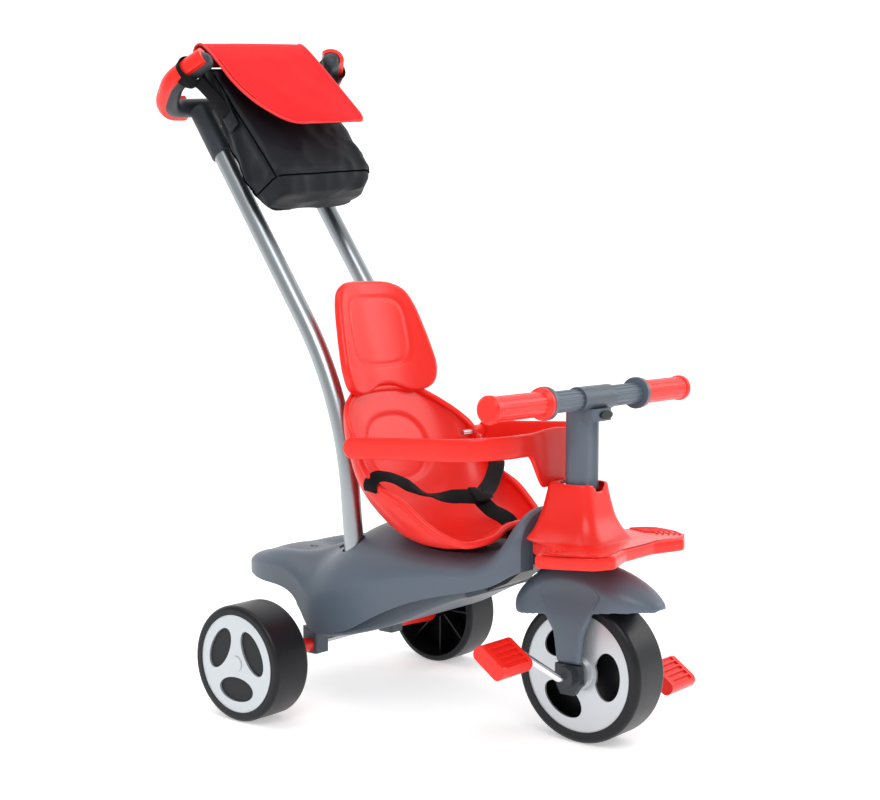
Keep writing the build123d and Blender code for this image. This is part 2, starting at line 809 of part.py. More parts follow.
bag_profile = (
    (-bag_back, rim_back),
    (-bag_back, bag_bottom),
    (-bag_back - bag_depth, bag_bottom),
    (-bag_back - bag_depth, bag_bottom / 2),
    (-bag_back - bag_mouth_depth, rim_front),
    (-bag_back - bag_wall, rim_back - 6),
    (-bag_back - bag_wall, rim_back),
)
bag_hollow = (
    (-bag_back - bag_wall, rim_back + 1),
    (-bag_back - bag_wall, bag_bottom + bag_wall),
    (-bag_back - bag_depth + bag_wall, bag_bottom + bag_wall),
    (-bag_back - bag_depth + bag_wall, bag_bottom / 2),
    (-bag_back - bag_mouth_depth + bag_wall, rim_front),
    (-bag_back - bag_mouth_depth + bag_wall, rim_back + 1),
)
with BuildPart() as bag_body:
    with BuildSketch(across_bow(bag_shift - bag_half_width)):
        Polygon(*bag_profile, align=None)
    extrude(amount=2 * bag_half_width)
    with BuildSketch(across_bow(bag_shift - bag_half_width + bag_wall)):
        Polygon(*bag_hollow, align=None)
    extrude(amount=2 * (bag_half_width - bag_wall), mode=Mode.SUBTRACT)
keep(bag_body, "bag_body")

flap_hinge = (-bag_back - bag_wall / 2, rim_back + flap_thickness / 2 + seat_gap)
with BuildPart() as bag_flap:
    with BuildSketch(across_bow(bag_shift - flap_half_width)):
        with BuildLine():
            FilletPolyline(flap_hinge, flap_fold, flap_end, radius=12)
        trace(line_width=flap_thickness)
    extrude(amount=2 * flap_half_width)
keep(bag_flap, "bag_flap")

strap_at = 84.0
hanger_width = 22.0
hanger_thickness = 1.6
hanger_drop = 95.0
loop_inner = bow_radius + pad_thickness + seat_gap
horn_slope = (bow_half_width - bow_tip_half) / (bow_reach - bow_widest)
with BuildPart() as bag_straps:
    for side, s in SIDES:
        horn_x = bow_half_width - horn_slope * (strap_at - bow_widest)
        horn_along = bow_plane.x_dir * (-s * horn_slope) - bow_plane.y_dir
        loop_at = bow_plane.from_local_coords((s * horn_x, -strap_at, 0))
        loop_plane = Plane(origin=loop_at, x_dir=bow_plane.z_dir, z_dir=horn_along)
        with BuildSketch(loop_plane.offset(-hanger_width / 2)):
            Circle(loop_inner + hanger_thickness)
            Circle(loop_inner, mode=Mode.SUBTRACT)
        extrude(amount=hanger_width)
        hang_x = s * bag_shift + bag_half_width + seat_gap + hanger_thickness / 2
        hang_origin = bow_plane.from_local_coords((0, -strap_at + hanger_width / 2, 0))
        with BuildSketch(Plane(origin=hang_origin, x_dir=bow_plane.x_dir, z_dir=-bow_plane.y_dir)):
            with BuildLine():
                Polyline(
                    (s * (horn_x - 15.2), -15.2),
                    (s * hang_x, -38),
                    (s * hang_x, -hanger_drop),
                )
            trace(line_width=hanger_thickness)
        extrude(amount=hanger_width)
keep(bag_straps, "bag_straps")

# ---------------------------------------------------------------- fork, mudguard and stem
guard_sections = (
    # y, half width, top, lip
    (-104, 22, 186, 168),
    (-122, 41, 208, 161),
    (-156, 50, 230, 166),
    (-205, 52, 239, 172),
    (-252, 47, 231, 178),
    (-296, 32, 211, 182),
    (-320, 11, 195, 184),
)
crown_top = head_tube_bottom - bush_flange - seat_gap
leg_inner = 43.0
leg_outer = 53.0
leg_bottom = 109.0
with BuildPart() as fork:
    loft(sections=arches(guard_sections))
    guard_inner = [
        (y - wall * (y == guard_sections[0][0]) + wall * (y == guard_sections[-1][0]), w, t, l)
        for y, w, t, l in guard_sections
    ]
    loft(sections=arches(guard_inner, grow=-wall, lower=6.0), mode=Mode.SUBTRACT)
    for side, s in SIDES:
        with BuildSketch(side_plane(s * leg_inner)):
            with BuildLine():
                Polyline(
                    (front_wheel_y - 17, leg_bottom),
                    (front_wheel_y - 21, 150),
                    (front_wheel_y - 34, 200),
                    (front_wheel_y + 52, 200),
                    (front_wheel_y + 27, 150),
                    (front_wheel_y + 21, leg_bottom),
                    close=True,
                )
            make_face()
        extrude(amount=s * (leg_outer - leg_inner))
    with BuildSketch(Plane.XY.offset(222)):
        with Locations((0, steering_y)):
            Circle(24)
    extrude(amount=crown_top - 222)
    with BuildSketch(Plane.XY.offset(222)):
        with Locations((0, steering_y)):
            Circle(steerer_radius)
    extrude(amount=170)
keep(fork, "fork")

fork_end_outer = 64.0
for side, s in SIDES:
    with BuildPart() as fork_end:
        with BuildSketch(side_plane(s * leg_inner, front_wheel_y, front_wheel_radius)):
            with BuildLine():
                Polyline(
                    (-17, leg_bottom - front_wheel_radius),
                    (-19, -10),
                    (-8, -26),
                    (12, -26),
                    (21, -10),
                    (21, leg_bottom - front_wheel_radius),
                    close=True,
                )
            make_face()
        extrude(amount=s * (leg_outer - leg_inner))
        with BuildSketch(side_plane(s * leg_outer, front_wheel_y, front_wheel_radius)):
            Circle(13.5)
        extrude(amount=s * (fork_end_outer - leg_outer))
        with BuildSketch(side_plane(s * (leg_inner - 2), front_wheel_y, front_wheel_radius)):
            Circle(crank_radius + running_gap)
        extrude(amount=s * 40, mode=Mode.SUBTRACT)
    keep(fork_end, f"fork_end_{side}")

bar_y = steering_y - bar_forward
bar_axis_plane = Plane(origin=(-bar_half_length - 5, bar_y, bar_height), x_dir=(0, 1, 0), z_dir=(1, 0, 0))
with BuildPart() as stem:
    with BuildSketch(Plane.XY.offset(stem_bottom)):
        with Locations((0, steering_y)):
            RectangleRounded(2 * stem_half_width, 2 * stem_half_depth, 14)
        with Locations((0, steering_y - stem_half_depth - 13), (0, steering_y + stem_half_depth + 13)):
            Circle(16, mode=Mode.SUBTRACT)
    extrude(amount=stem_top - stem_bottom)
    with BuildSketch(Plane.XY.offset(426)):
        with Locations((0, steering_y - 14)):
            RectangleRounded(2 * stem_half_width - 6, 42, 8)
    extrude(amount=stem_top - 426 - 4)
    with BuildSketch(bar_axis_plane):
        Circle(clamp_radius)
    extrude(amount=500, mode=Mode.SUBTRACT)
    with BuildSketch(Plane.XY.offset(stem_bottom - 1)):
        with Locations((0, steering_y)):
            Circle(steerer_radius)
    extrude(amount=392 - stem_bottom + 1, mode=Mode.SUBTRACT)
keep(stem, "steering_stem")

with BuildPart() as bar_clamp:
    with BuildSketch(side_plane(-clamp_half_length, bar_y, bar_height)):
        Circle(clamp_radius)
        Circle(bar_radius, mode=Mode.SUBTRACT)
    extrude(amount=2 * clamp_half_length)
keep(bar_clamp, "bar_clamp")

rib_radius = 1.2
with BuildPart() as handlebar:
    with BuildSketch(side_plane(-bar_half_length + 6, bar_y, bar_height)):
        Circle(bar_radius)
    extrude(amount=2 * bar_half_length - 12)
    for side, s in SIDES:
        with BuildSketch(side_plane(s * (clamp_half_length + 0.2), bar_y, bar_height)):
            with PolarLocations(bar_radius, 14):
                Circle(rib_radius)
        extrude(amount=s * (grip_start - clamp_half_length - 5))
        with BuildSketch(side_plane(s * (grip_start - 6), bar_y, bar_height)):
            Circle(flange_radius)
        extrude(amount=s * 6)
keep(handlebar, "handlebar")

for side, s in SIDES:
    with BuildPart() as grip:
        with BuildSketch(axle_plane(bar_y, bar_height)):
            with BuildLine():
                Polyline(
                    (s * grip_start, bar_radius),
                    (s * grip_start, flange_radius - 0.8),
                    (s * (grip_start + 5), flange_radius - 0.8),
                    (s * (grip_start + 9), grip_radius),
                    (s * (bar_half_length - 12), grip_radius),
                    (s * (bar_half_length - 9), grip_radius + 1.8),
                    (s * (bar_half_length - 3), grip_radius + 1.8),
                    (s * bar_half_length, grip_radius - 2),
                    (s * bar_half_length, 0),
                    (s * (bar_half_length - 6), 0),
                    (s * (bar_half_length - 6), bar_radius),
                    close=True,
                )
            make_face()
        revolve(axis=Axis((0, bar_y, bar_height), (1, 0, 0)))
        with BuildSketch(side_plane(s * (grip_start + 12), bar_y, bar_height)):
            with PolarLocations(grip_radius + 0.6, 18):
                Circle(1.3)
        extrude(amount=s * (bar_half_length - grip_start - 28), mode=Mode.SUBTRACT)
    keep(grip, f"grip_{side}")

with BuildPart() as stem_plug:
    with BuildSketch(Plane.XZ.offset(-(steering_y - 35))):
        with Locations((0, 434)):
            Ellipse(13, 5.5)
    extrude(amount=4)
keep(stem_plug, "stem_plug")

# ---------------------------------------------------------------- front wheel, crank and pedals
front_half = front_wheel_width / 2
front_axis = Axis((0, front_wheel_y, front_wheel_radius), (1, 0, 0))
front_disc_back = front_half - 2.5 - disc_thickness
lip = 3.5
with BuildPart() as front_core:
    with BuildSketch(axle_plane(front_wheel_y, front_wheel_radius)):
        with BuildLine():
            half = Polyline(
                (0, front_wheel_radius),
                (front_half, front_wheel_radius),
                (front_half, front_disc_radius + 0.2),
                (front_disc_back, front_disc_radius + 0.2),
                (front_disc_back, front_disc_radius - lip),
                (front_disc_back - lip, front_disc_radius - lip),
                (front_disc_back - lip, front_wheel_radius - tread_thickness),
                (web_thickness / 2, front_wheel_radius - tread_thickness),
                (web_thickness / 2, 15.0),
                (front_disc_back, 15.0),
                (front_disc_back, crank_radius),
                (0, crank_radius),
            )
            mirror(half, about=Plane.YZ)
        make_face()
    revolve(axis=front_axis)
    shoulders = front_core.edges().filter_by(GeomType.CIRCLE).filter_by(
        lambda edge: abs(edge.radius - front_wheel_radius) < 0.01
    )
    fillet(shoulders.filter_by(lambda edge: abs(edge.center().X) > 1), tread_shoulder)
keep(front_core, "front_wheel")

boss_radius = 0.37 * front_disc_radius
for side, s in SIDES:
    with BuildPart() as disc:
        with BuildSketch(side_plane(s * front_disc_back, front_wheel_y, front_wheel_radius)):
            Circle(front_disc_radius)
            with PolarLocations(front_disc_radius * (window_centre + 0.04), 3, start_angle=60):
                Ellipse(
                    front_disc_radius * window_radial,
                    front_disc_radius * (window_tangential - 0.08),
                    mode=Mode.SUBTRACT,
                )
            Circle(boss_radius)
            Circle(crank_radius, mode=Mode.SUBTRACT)
        extrude(amount=s * disc_thickness)
        with BuildSketch(side_plane(s * (front_disc_back + disc_thickness), front_wheel_y, front_wheel_radius)):
            Circle(boss_radius * 0.8)
            Circle(crank_radius, mode=Mode.SUBTRACT)
        extrude(amount=s * 7, taper=20)
    keep(disc, f"front_disc_{side}")

throw_y = crank_throw * cos(radians(crank_lean))
throw_z = crank_throw * sin(radians(crank_lean))
spindle_end = pedal_inner + pedal_length - 6
with BuildPart() as crank:
    with BuildLine(Plane(origin=(0, front_wheel_y, front_wheel_radius))) as route:
        FilletPolyline(
            (-spindle_end, throw_y, throw_z),
            (-pedal_inner + 6, throw_y, throw_z),
            (-fork_end_outer - 10, 0, 0),
            (fork_end_outer + 10, 0, 0),
            (pedal_inner - 6, -throw_y, -throw_z),
            (spindle_end, -throw_y, -throw_z),
            radius=9,
        )
    with BuildSketch(Plane(origin=route.line @ 0, z_dir=route.line % 0)):
        Circle(crank_radius)
    sweep(path=route.line)
keep(crank, "crank_axle")

for side, s in SIDES:
    spindle_y = front_wheel_y - s * throw_y
    spindle_z = front_wheel_radius - s * throw_z
    pedal_plane = Plane(
        origin=(s * pedal_inner, spindle_y, spindle_z),
        x_dir=(0, cos(radians(pedal_tilt)), sin(radians(pedal_tilt))),
        z_dir=(1, 0, 0),
    )
    with BuildPart() as pedal:
        with BuildSketch(pedal_plane):
            RectangleRounded(pedal_depth, pedal_thickness, 9)
        extrude(amount=s * pedal_length)
        with BuildSketch(pedal_plane.offset(-s)):
            Circle(crank_radius + running_gap)
        extrude(amount=s * (pedal_length - 4 + 1), mode=Mode.SUBTRACT)
        rib_step = 9.0
        for face in (-1, 1):
            with BuildSketch(pedal_plane.offset(s * 8)):
                with Locations((0, face * pedal_thickness / 2)):
                    with GridLocations(rib_step, 0, 5, 1):
                        Rectangle(rib_step - 3, 5)
            extrude(amount=s * (pedal_length - 16), mode=Mode.SUBTRACT)
    keep(pedal, f"pedal_{side}")
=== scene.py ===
"""Looks of a children's push tricycle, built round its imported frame. Metres, +Z up, it faces -Y."""
import json
import math

import bpy
import bmesh
from mathutils import Matrix, Vector, noise


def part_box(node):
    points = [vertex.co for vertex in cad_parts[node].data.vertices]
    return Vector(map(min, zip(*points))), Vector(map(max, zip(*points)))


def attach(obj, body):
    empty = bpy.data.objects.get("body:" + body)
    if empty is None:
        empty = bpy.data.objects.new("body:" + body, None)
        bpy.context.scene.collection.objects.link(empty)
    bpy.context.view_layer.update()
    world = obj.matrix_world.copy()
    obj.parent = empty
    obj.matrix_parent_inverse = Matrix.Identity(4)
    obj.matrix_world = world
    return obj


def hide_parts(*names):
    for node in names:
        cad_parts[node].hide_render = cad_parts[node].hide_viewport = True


bl_info = {
    "name": "Push tricycle looks",
    "version": (1, 0, 0),
    "blender": (4, 5, 0),
    "location": "View3D > Sidebar > Tricycle",
    "description": "Materials, soft goods and stage of a children's push tricycle",
    "category": "Object",
}

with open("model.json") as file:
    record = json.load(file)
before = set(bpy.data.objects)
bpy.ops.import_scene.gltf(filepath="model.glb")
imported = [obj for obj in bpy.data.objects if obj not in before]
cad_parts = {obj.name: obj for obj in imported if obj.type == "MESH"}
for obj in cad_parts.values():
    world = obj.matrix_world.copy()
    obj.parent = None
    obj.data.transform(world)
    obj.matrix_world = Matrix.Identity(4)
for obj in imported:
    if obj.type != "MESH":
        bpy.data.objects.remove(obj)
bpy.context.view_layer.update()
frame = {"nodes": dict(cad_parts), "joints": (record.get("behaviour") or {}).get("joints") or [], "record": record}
NODES = frame["nodes"]
JOINTS = {joint["name"]: joint for joint in frame["joints"]}
SIDES = (("right", -1), ("left", 1))

POST = Vector(JOINTS["push_handle_turn"]["pos_m"])
TUBE_UP = Vector(JOINTS["push_handle_turn"]["axis"]).normalized()
BOW_RIGHT = -Vector(JOINTS["bag_flap_open"]["axis"]).normalized()
BOW_BACK = TUBE_UP.cross(BOW_RIGHT)


def on_bow(across, back, up):
    """A point from its millimetres across the bow, behind it and up the tubes."""
    return POST + (BOW_RIGHT * across + BOW_BACK * back + TUBE_UP * up) / 1000


# ------------------------------------------------------------------ shader maths
class Wire:
    """A shader socket that sums and products can be written on."""

    def __init__(self, paint, socket):
        self.paint = paint
        self.socket = socket

    def _math(self, operation, first, second):
        return self.paint.node("ShaderNodeMath", {"operation": operation}, {0: first, 1: second})

    def __add__(self, other):
        return self._math("ADD", self, other)

    def __radd__(self, other):
        return self._math("ADD", other, self)

    def __sub__(self, other):
        return self._math("SUBTRACT", self, other)

    def __mul__(self, other):
        return self._math("MULTIPLY", self, other)

    def clamped(self):
        return self.paint.node("ShaderNodeClamp", {}, {"Value": self})


class Paint:
    """A material under construction."""

    def __init__(self, name):
        self.material = bpy.data.materials.new(name)
        self.material.use_nodes = True
        self.tree = self.material.node_tree
        self.shader = self.tree.nodes["Principled BSDF"]

    def node(self, kind, settings, inputs, output=0):
        """Adds one node: its settings first, then the values or links of its sockets."""
        made = self.tree.nodes.new(kind)
        for key, value in settings.items():
            setattr(made, key, value)
        for key, value in inputs.items():
            self.feed(made.inputs[key], value)
        return Wire(self, made.outputs[output])

    def feed(self, socket, value):
        if isinstance(value, Wire):
            self.tree.links.new(value.socket, socket)
        else:
            socket.default_value = value

    def coords(self):
        return self.node("ShaderNodeTexCoord", {}, {}, "Object")

    def grain(self, scale, detail=2.0, rough=0.5, stretch=(1.0, 1.0, 1.0)):
        """Noise from 0 to 1, scale cells to the metre."""
        where = self.node("ShaderNodeMapping", {}, {"Vector": self.coords(), "Scale": stretch})
        inputs = {"Vector": where, "Scale": scale, "Detail": detail, "Roughness": rough}
        return self.node("ShaderNodeTexNoise", {}, inputs, "Fac")

    def threads(self, pitch, direction):
        """Bands from 0 to 1 across one direction, a thread's pitch apart."""
        inputs = {"Vector": self.coords(), "Scale": BANDS_TO_PITCH / pitch, "Distortion": 0.4}
        return self.node("ShaderNodeTexWave", {"bands_direction": direction}, inputs, "Fac")

    def mix(self, share, first, second):
        """A colour between two colours."""
        made = self.tree.nodes.new("ShaderNodeMix")
        made.data_type = "RGBA"
        self.feed(made.inputs["Factor"], share)
        for name, colour in (("A", first), ("B", second)):
            socket = [s for s in made.inputs if s.name == name and s.type == "RGBA"][0]
            self.feed(socket, (*colour, 1.0))
        return Wire(self, [s for s in made.outputs if s.type == "RGBA"][0])

    def bump(self, height, strength, distance):
        return self.node(
            "ShaderNodeBump", {}, {"Height": height, "Strength": strength, "Distance": distance}, "Normal"
        )

    def finish(self, **inputs):
        for name, value in inputs.items():
            self.feed(self.shader.inputs[name.replace("_", " ")], value)
        return self.material


MATERIALS = {}
BANDS_TO_PITCH = 0.3


def moulded(name, colour, roughness, coat=0.0, mottle=0.06, peel=0.12, shine=0.5):
    """Injection-moulded plastic: even colour with a fine skin grain and faint flow clouds."""
    paint = Paint(name)
    clouds = paint.grain(9.0, 3.0)
    skin = paint.grain(900.0, 2.0)
    dark = tuple(c * (1 - mottle) for c in colour)
    light = tuple(min(1.0, c * (1 + mottle)) for c in colour)
    wear = paint.grain(38.0, 4.0, 0.6)
    MATERIALS[name] = paint.finish(
        Base_Color=paint.mix(clouds, dark, light),
        Roughness=roughness + (wear - 0.5) * 0.10 + (skin - 0.5) * 0.05,
        Coat_Weight=coat,
        Coat_Roughness=0.12,
        Specular_IOR_Level=shine,
        Normal=paint.bump(skin, peel, 0.0004),
    )


def metal(name, colour, roughness, stretch, drawn=0.06):
    """Polished metal with drawn streaks along the tube."""
    paint = Paint(name)
    streaks = paint.grain(260.0, 3.0, 0.6, stretch)
    clouds = paint.grain(7.0, 2.0)
    MATERIALS[name] = paint.finish(
        Base_Color=paint.mix(clouds, tuple(c * 0.93 for c in colour), colour),
        Metallic=1.0,
        Roughness=roughness + (streaks - 0.5) * drawn,
        Normal=paint.bump(streaks, drawn / 2, 0.0002),
    )


def woven(name, colour, pitch, roughness, crumple=0.5, shine=0.3):
    """Coated woven cloth: warp and weft bands over soft crumples."""
    paint = Paint(name)
    weave = (paint.threads(pitch, "X") + paint.threads(pitch, "Z")) * 0.5
    folds = paint.grain(26.0, 3.0, 0.55)
    fuzz = paint.grain(420.0, 2.0)
    dark = tuple(c * 0.72 for c in colour)
    MATERIALS[name] = paint.finish(
        Base_Color=paint.mix((weave * 0.5 + folds * 0.5).clamped(), dark, colour),
        Roughness=roughness + (folds - 0.5) * 0.16 + (fuzz - 0.5) * 0.06,
        Specular_IOR_Level=shine,
        Normal=paint.bump(weave * 0.35 + folds * crumple, 0.35, 0.0012),
    )


# ------------------------------------------------------------------ meshes
def new_mesh(name, points, faces, material, body):
    """A piece from points in metres and faces, riding on a body."""
    mesh = bpy.data.meshes.new(name)
    mesh.from_pydata([tuple(p) for p in points], [], faces)
    mesh.validate()
    mesh.update()
    mesh.shade_smooth()
    piece = bpy.data.objects.new(name, mesh)
    bpy.context.scene.collection.objects.link(piece)
    mesh.materials.append(MATERIALS[material])
    if body:
        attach(piece, body)
    return piece


def grid_faces(rows, columns, closed=False):
    """Quads of a grid of points, row by row; a closed grid joins its last column to its first."""
    faces = []
    for row in range(rows - 1):
        for column in range(columns if closed else columns - 1):
            here = row * columns + column
            beside = row * columns + (column + 1) % columns
            faces.append((here, beside, beside + columns, here + columns))
    return faces


def apply_modifiers(piece):
    """Bakes a piece's modifiers into its mesh."""
    depsgraph = bpy.context.evaluated_depsgraph_get()
    mesh = bpy.data.meshes.new_from_object(piece.evaluated_get(depsgraph))
    piece.modifiers.clear()
    old = piece.data
    piece.data = mesh
    bpy.data.meshes.remove(old)


def thicken(piece, thickness, offset, finer=0):
    """Gives a sheet its thickness. The offset is -1 for a wall inside it and 0 for one on both sides."""
    wall = piece.modifiers.new("wall", "SOLIDIFY")
    wall.thickness = thickness
    wall.offset = offset
    if finer:
        fine = piece.modifiers.new("fine", "SUBSURF")
        fine.levels = fine.render_levels = finer
    apply_modifiers(piece)


def outward(piece):
    """Turns the faces of a closed piece outward."""
    work = bmesh.new()
    work.from_mesh(piece.data)
    bmesh.ops.recalc_face_normals(work, faces=work.faces)
    work.to_mesh(piece.data)
    work.free()
    piece.data.shade_smooth()
    return piece


def smooth_path(points, count):
    """Points evenly along a smooth curve through the given ones."""
    pts = [Vector(p) for p in points]
    pts = [pts[0] * 2 - pts[1]] + pts + [pts[-1] * 2 - pts[-2]]
    dense = []
    for i in range(1, len(pts) - 2):
        a, b, c, d = pts[i - 1 : i + 3]
        square = 2 * a - 5 * b + 4 * c - d
        cube = 3 * b - a - 3 * c + d
        for step in range(16):
            t = step / 16
            dense.append(0.5 * ((2 * b) + (c - a) * t + square * t * t + cube * t**3))
    dense.append(pts[-2])
    lengths = [0.0]
    for p, q in zip(dense, dense[1:]):
        lengths.append(lengths[-1] + (q - p).length)
    out = []
    k = 0
    for i in range(count):
        want = lengths[-1] * i / (count - 1)
        while k < len(dense) - 2 and lengths[k + 1] < want:
            k += 1
        span = lengths[k + 1] - lengths[k]
        out.append(dense[k].lerp(dense[k + 1], (want - lengths[k]) / span if span else 0.0))
    return out


def ahead_at(path, index):
    """The direction of a path at one of its points."""
    return (path[min(index + 1, len(path) - 1)] - path[max(index - 1, 0)]).normalized()


def capped_faces(rows, columns):
    """Quads of a closed grid, and a cap on each of its ends."""
    last = (rows - 1) * columns
    caps = [tuple(range(columns - 1, -1, -1)), tuple(range(last, last + columns))]
    return grid_faces(rows, columns, closed=True) + caps


def band(name, points, normals, width, thick, material, body, count=60, edge=0.12):
    """A strip of webbing along a smooth path. The normals give which way its flat side faces, end to end."""
    path = smooth_path(points, count)
    profile = [(-0.5, 0.0), (-0.5 + edge / 2, 0.5), (0.0, 0.42), (0.5 - edge / 2, 0.5), (0.5, 0.0)]
    profile += [(0.5 - edge / 2, -0.5), (0.0, -0.42), (-0.5 + edge / 2, -0.5)]
    rows = []
    for i, p in enumerate(path):
        ahead = ahead_at(path, i)
        share = i / (count - 1) * (len(normals) - 1)
        k = min(int(share), len(normals) - 2)
        face = Vector(normals[k]).lerp(Vector(normals[k + 1]), share - k)
        face = (face - ahead * face.dot(ahead)).normalized()
        side = ahead.cross(face)
        rows.extend(p + side * (u * width) + face * (v * thick) for u, v in profile)
    return outward(new_mesh(name, rows, capped_faces(count, len(profile)), material, body))


def tube(name, points, radius, material, body, count=80, around=10):
    """A round cord or rod along a smooth path."""
    path = smooth_path(points, count)
    rows = []
    side = None
    for i, p in enumerate(path):
        ahead = ahead_at(path, i)
        if side is None:
            side = ahead.orthogonal().normalized()
        side = (side - ahead * side.dot(ahead)).normalized()
        up = ahead.cross(side)
        for k in range(around):
            angle = 2 * math.pi * k / around
            rows.append(p + (side * math.cos(angle) + up * math.sin(angle)) * radius)
    return outward(new_mesh(name, rows, capped_faces(count, around), material, body))


def cloth_settle(piece, pinned, frames, pressure, gravity, most):
    """Lets cloth settle with some points pinned, and caps how far a point may move, in metres."""
    start = [v.co.copy() for v in piece.data.vertices]
    group = piece.vertex_groups.new(name="held")
    for index, weight in pinned.items():
        group.add([index], weight, "REPLACE")
    cloth = piece.modifiers.new("settle", "CLOTH")
    cloth.settings.quality = 6
    cloth.settings.mass = 0.3
    cloth.settings.tension_stiffness = 15.0
    cloth.settings.compression_stiffness = 15.0
    cloth.settings.bending_stiffness = 0.4
    cloth.settings.vertex_group_mass = "held"
    cloth.settings.effector_weights.gravity = gravity
    cloth.settings.use_pressure = True
    cloth.settings.uniform_pressure_force = pressure
    cloth.collision_settings.use_collision = False
    scene = bpy.context.scene
    cloth.point_cache.frame_start = 1
    cloth.point_cache.frame_end = frames
    for step in range(1, frames + 1):
        scene.frame_set(step)
    apply_modifiers(piece)
    scene.frame_set(1)
    for v, at in zip(piece.data.vertices, start):
        move = v.co - at
        if move.length > most:
            v.co = at + move * (most / move.length)
    piece.vertex_groups.clear()
    piece.data.update()


def paint_materials(colours):
    """Makes every finish that the tricycle has."""
    moulded("red_plastic", colours.red, 0.30, coat=0.06, mottle=0.05, peel=0.10, shine=0.34)
    moulded("grey_plastic", colours.grey, 0.40, mottle=0.08, peel=0.22)
    moulded("dark_plastic", (0.034, 0.041, 0.049), 0.40, mottle=0.10, peel=0.22, shine=0.35)
    moulded("black_plastic", (0.016, 0.016, 0.018), 0.36, mottle=0.10, peel=0.15, shine=0.3)
    moulded("wheel_plastic", colours.tyre, 0.34, mottle=0.12, peel=0.30, shine=0.26)
    moulded("chassis_plastic", (0.070, 0.092, 0.118), 0.42, mottle=0.08, peel=0.22)
    silvered("silver_plastic", colours.silver)
    metal("bright_tube", colours.tubes, 0.30, (1.0, 1.0, 0.06), 0.03)
    metal("chrome_rod", (0.82, 0.82, 0.84), 0.12, (0.1, 1.0, 1.0))
    metal("steel", (0.55, 0.55, 0.56), 0.34, (1.0, 0.2, 1.0))
    woven("black_nylon", colours.bag, 0.0016, 0.46, crumple=0.8, shine=0.22)
    woven("red_nylon", colours.flap, 0.0016, 0.50, crumple=0.35, shine=0.14)
    woven("webbing", (0.0060, 0.0060, 0.0075), 0.0024, 0.66, crumple=0.1, shine=0.12)
    woven("red_binding", (0.90, 0.030, 0.030), 0.0010, 0.45, crumple=0.1, shine=0.5)
    woven("dark_thread", (0.0012, 0.0012, 0.0016), 0.0008, 0.80, crumple=0.1, shine=0.0)


def silvered(name, colour):
    """Silver-lacquered plastic with fine flakes."""
    paint = Paint(name)
    flakes = paint.node("ShaderNodeTexVoronoi", {}, {"Vector": paint.coords(), "Scale": 1400.0}, "Distance")
    clouds = paint.grain(11.0, 3.0)
    MATERIALS[name] = paint.finish(
        Base_Color=paint.mix(clouds, tuple(c * 0.92 for c in colour), colour),
        Metallic=0.55,
        Roughness=0.34 + (flakes - 0.5) * 0.08,
        Coat_Weight=0.2,
        Normal=paint.bump(flakes, 0.05, 0.0002),
    )


CLOSER_FINISH = {
    "rear_cap_right": "silver_plastic",
    "rear_cap_left": "silver_plastic",
    "handlebar": "grey_plastic",
    "bar_clamp": "chassis_plastic",
    "under_chassis": "chassis_plastic",
}


def dress_frame():
    """Gives each carried-over CAD node the finish of its slot, or a closer shade of the same plastic."""
    for row in frame["record"]["subparts"]:
        node = NODES[row["node"]]
        finish = MATERIALS[CLOSER_FINISH.get(row["node"], row["material_slot"])]
        if not node.material_slots:
            raise RuntimeError(f"{node.name} has no material slot")
        for place in node.material_slots:
            place.link = "OBJECT"
            place.material = finish


# ------------------------------------------------------------------ bag
BAG_SHIFT = -8.0
BAG_HALF = 94.0
BAG_BACK = -52.0
BAG_LEVELS = (
    # share of the drop, half width, depth, corner radius
    (0.0, 92.0, 44.0, 10.0), (0.25, 93.0, 52.0, 12.0), (0.50, 94.0, 60.0, 13.0),
    (0.74, 96.0, 66.0, 14.0), (0.86, 97.0, 67.0, 15.0), (0.94, 92.0, 60.0, 17.0),
    (1.0, 83.0, 50.0, 17.0),
)
BAG_RIM_BACK = 30.0
BAG_RIM_FRONT = -6.0
BAG_BOTTOM = -232.0
BAG_CLOTH = 0.0012


def between(table, share):
    """The row of a table at a share, eased from one given row to the next."""
    for low, high in zip(table, table[1:]):
        if share <= high[0]:
            t = (share - low[0]) / (high[0] - low[0])
            return [a + (b - a) * t for a, b in zip(low[1:], high[1:])]
    return list(table[-1][1:])


def bag_ring(half, depth, corner, steps):
    """Points (across, back) round one level of the bag, from the middle of its back."""
    centres = (
        (half - corner, BAG_BACK - corner, 90),
        (half - corner, BAG_BACK - depth + corner, 0),
        (-half + corner, BAG_BACK - depth + corner, -90),
        (-half + corner, BAG_BACK - corner, -180),
    )
    points = []
    for x, v, start in centres:
        for k in range(steps + 1):
            angle = math.radians(start - 90 * k / steps)
            points.append((x + corner * math.cos(angle), v + corner * math.sin(angle)))
    return points


def even_ring(points, count):
    """The same closed outline with evenly spaced points."""
    loop = points + points[:1]
    lengths = [0.0]
    for p, q in zip(loop, loop[1:]):
        lengths.append(lengths[-1] + math.hypot(q[0] - p[0], q[1] - p[1]))
    out = []
    k = 0
    for i in range(count):
        want = lengths[-1] * i / count
        while lengths[k + 1] < want:
            k += 1
        t = (want - lengths[k]) / ((lengths[k + 1] - lengths[k]) or 1.0)
        out.append([a + (b - a) * t for a, b in zip(loop[k], loop[k + 1])])
    return out


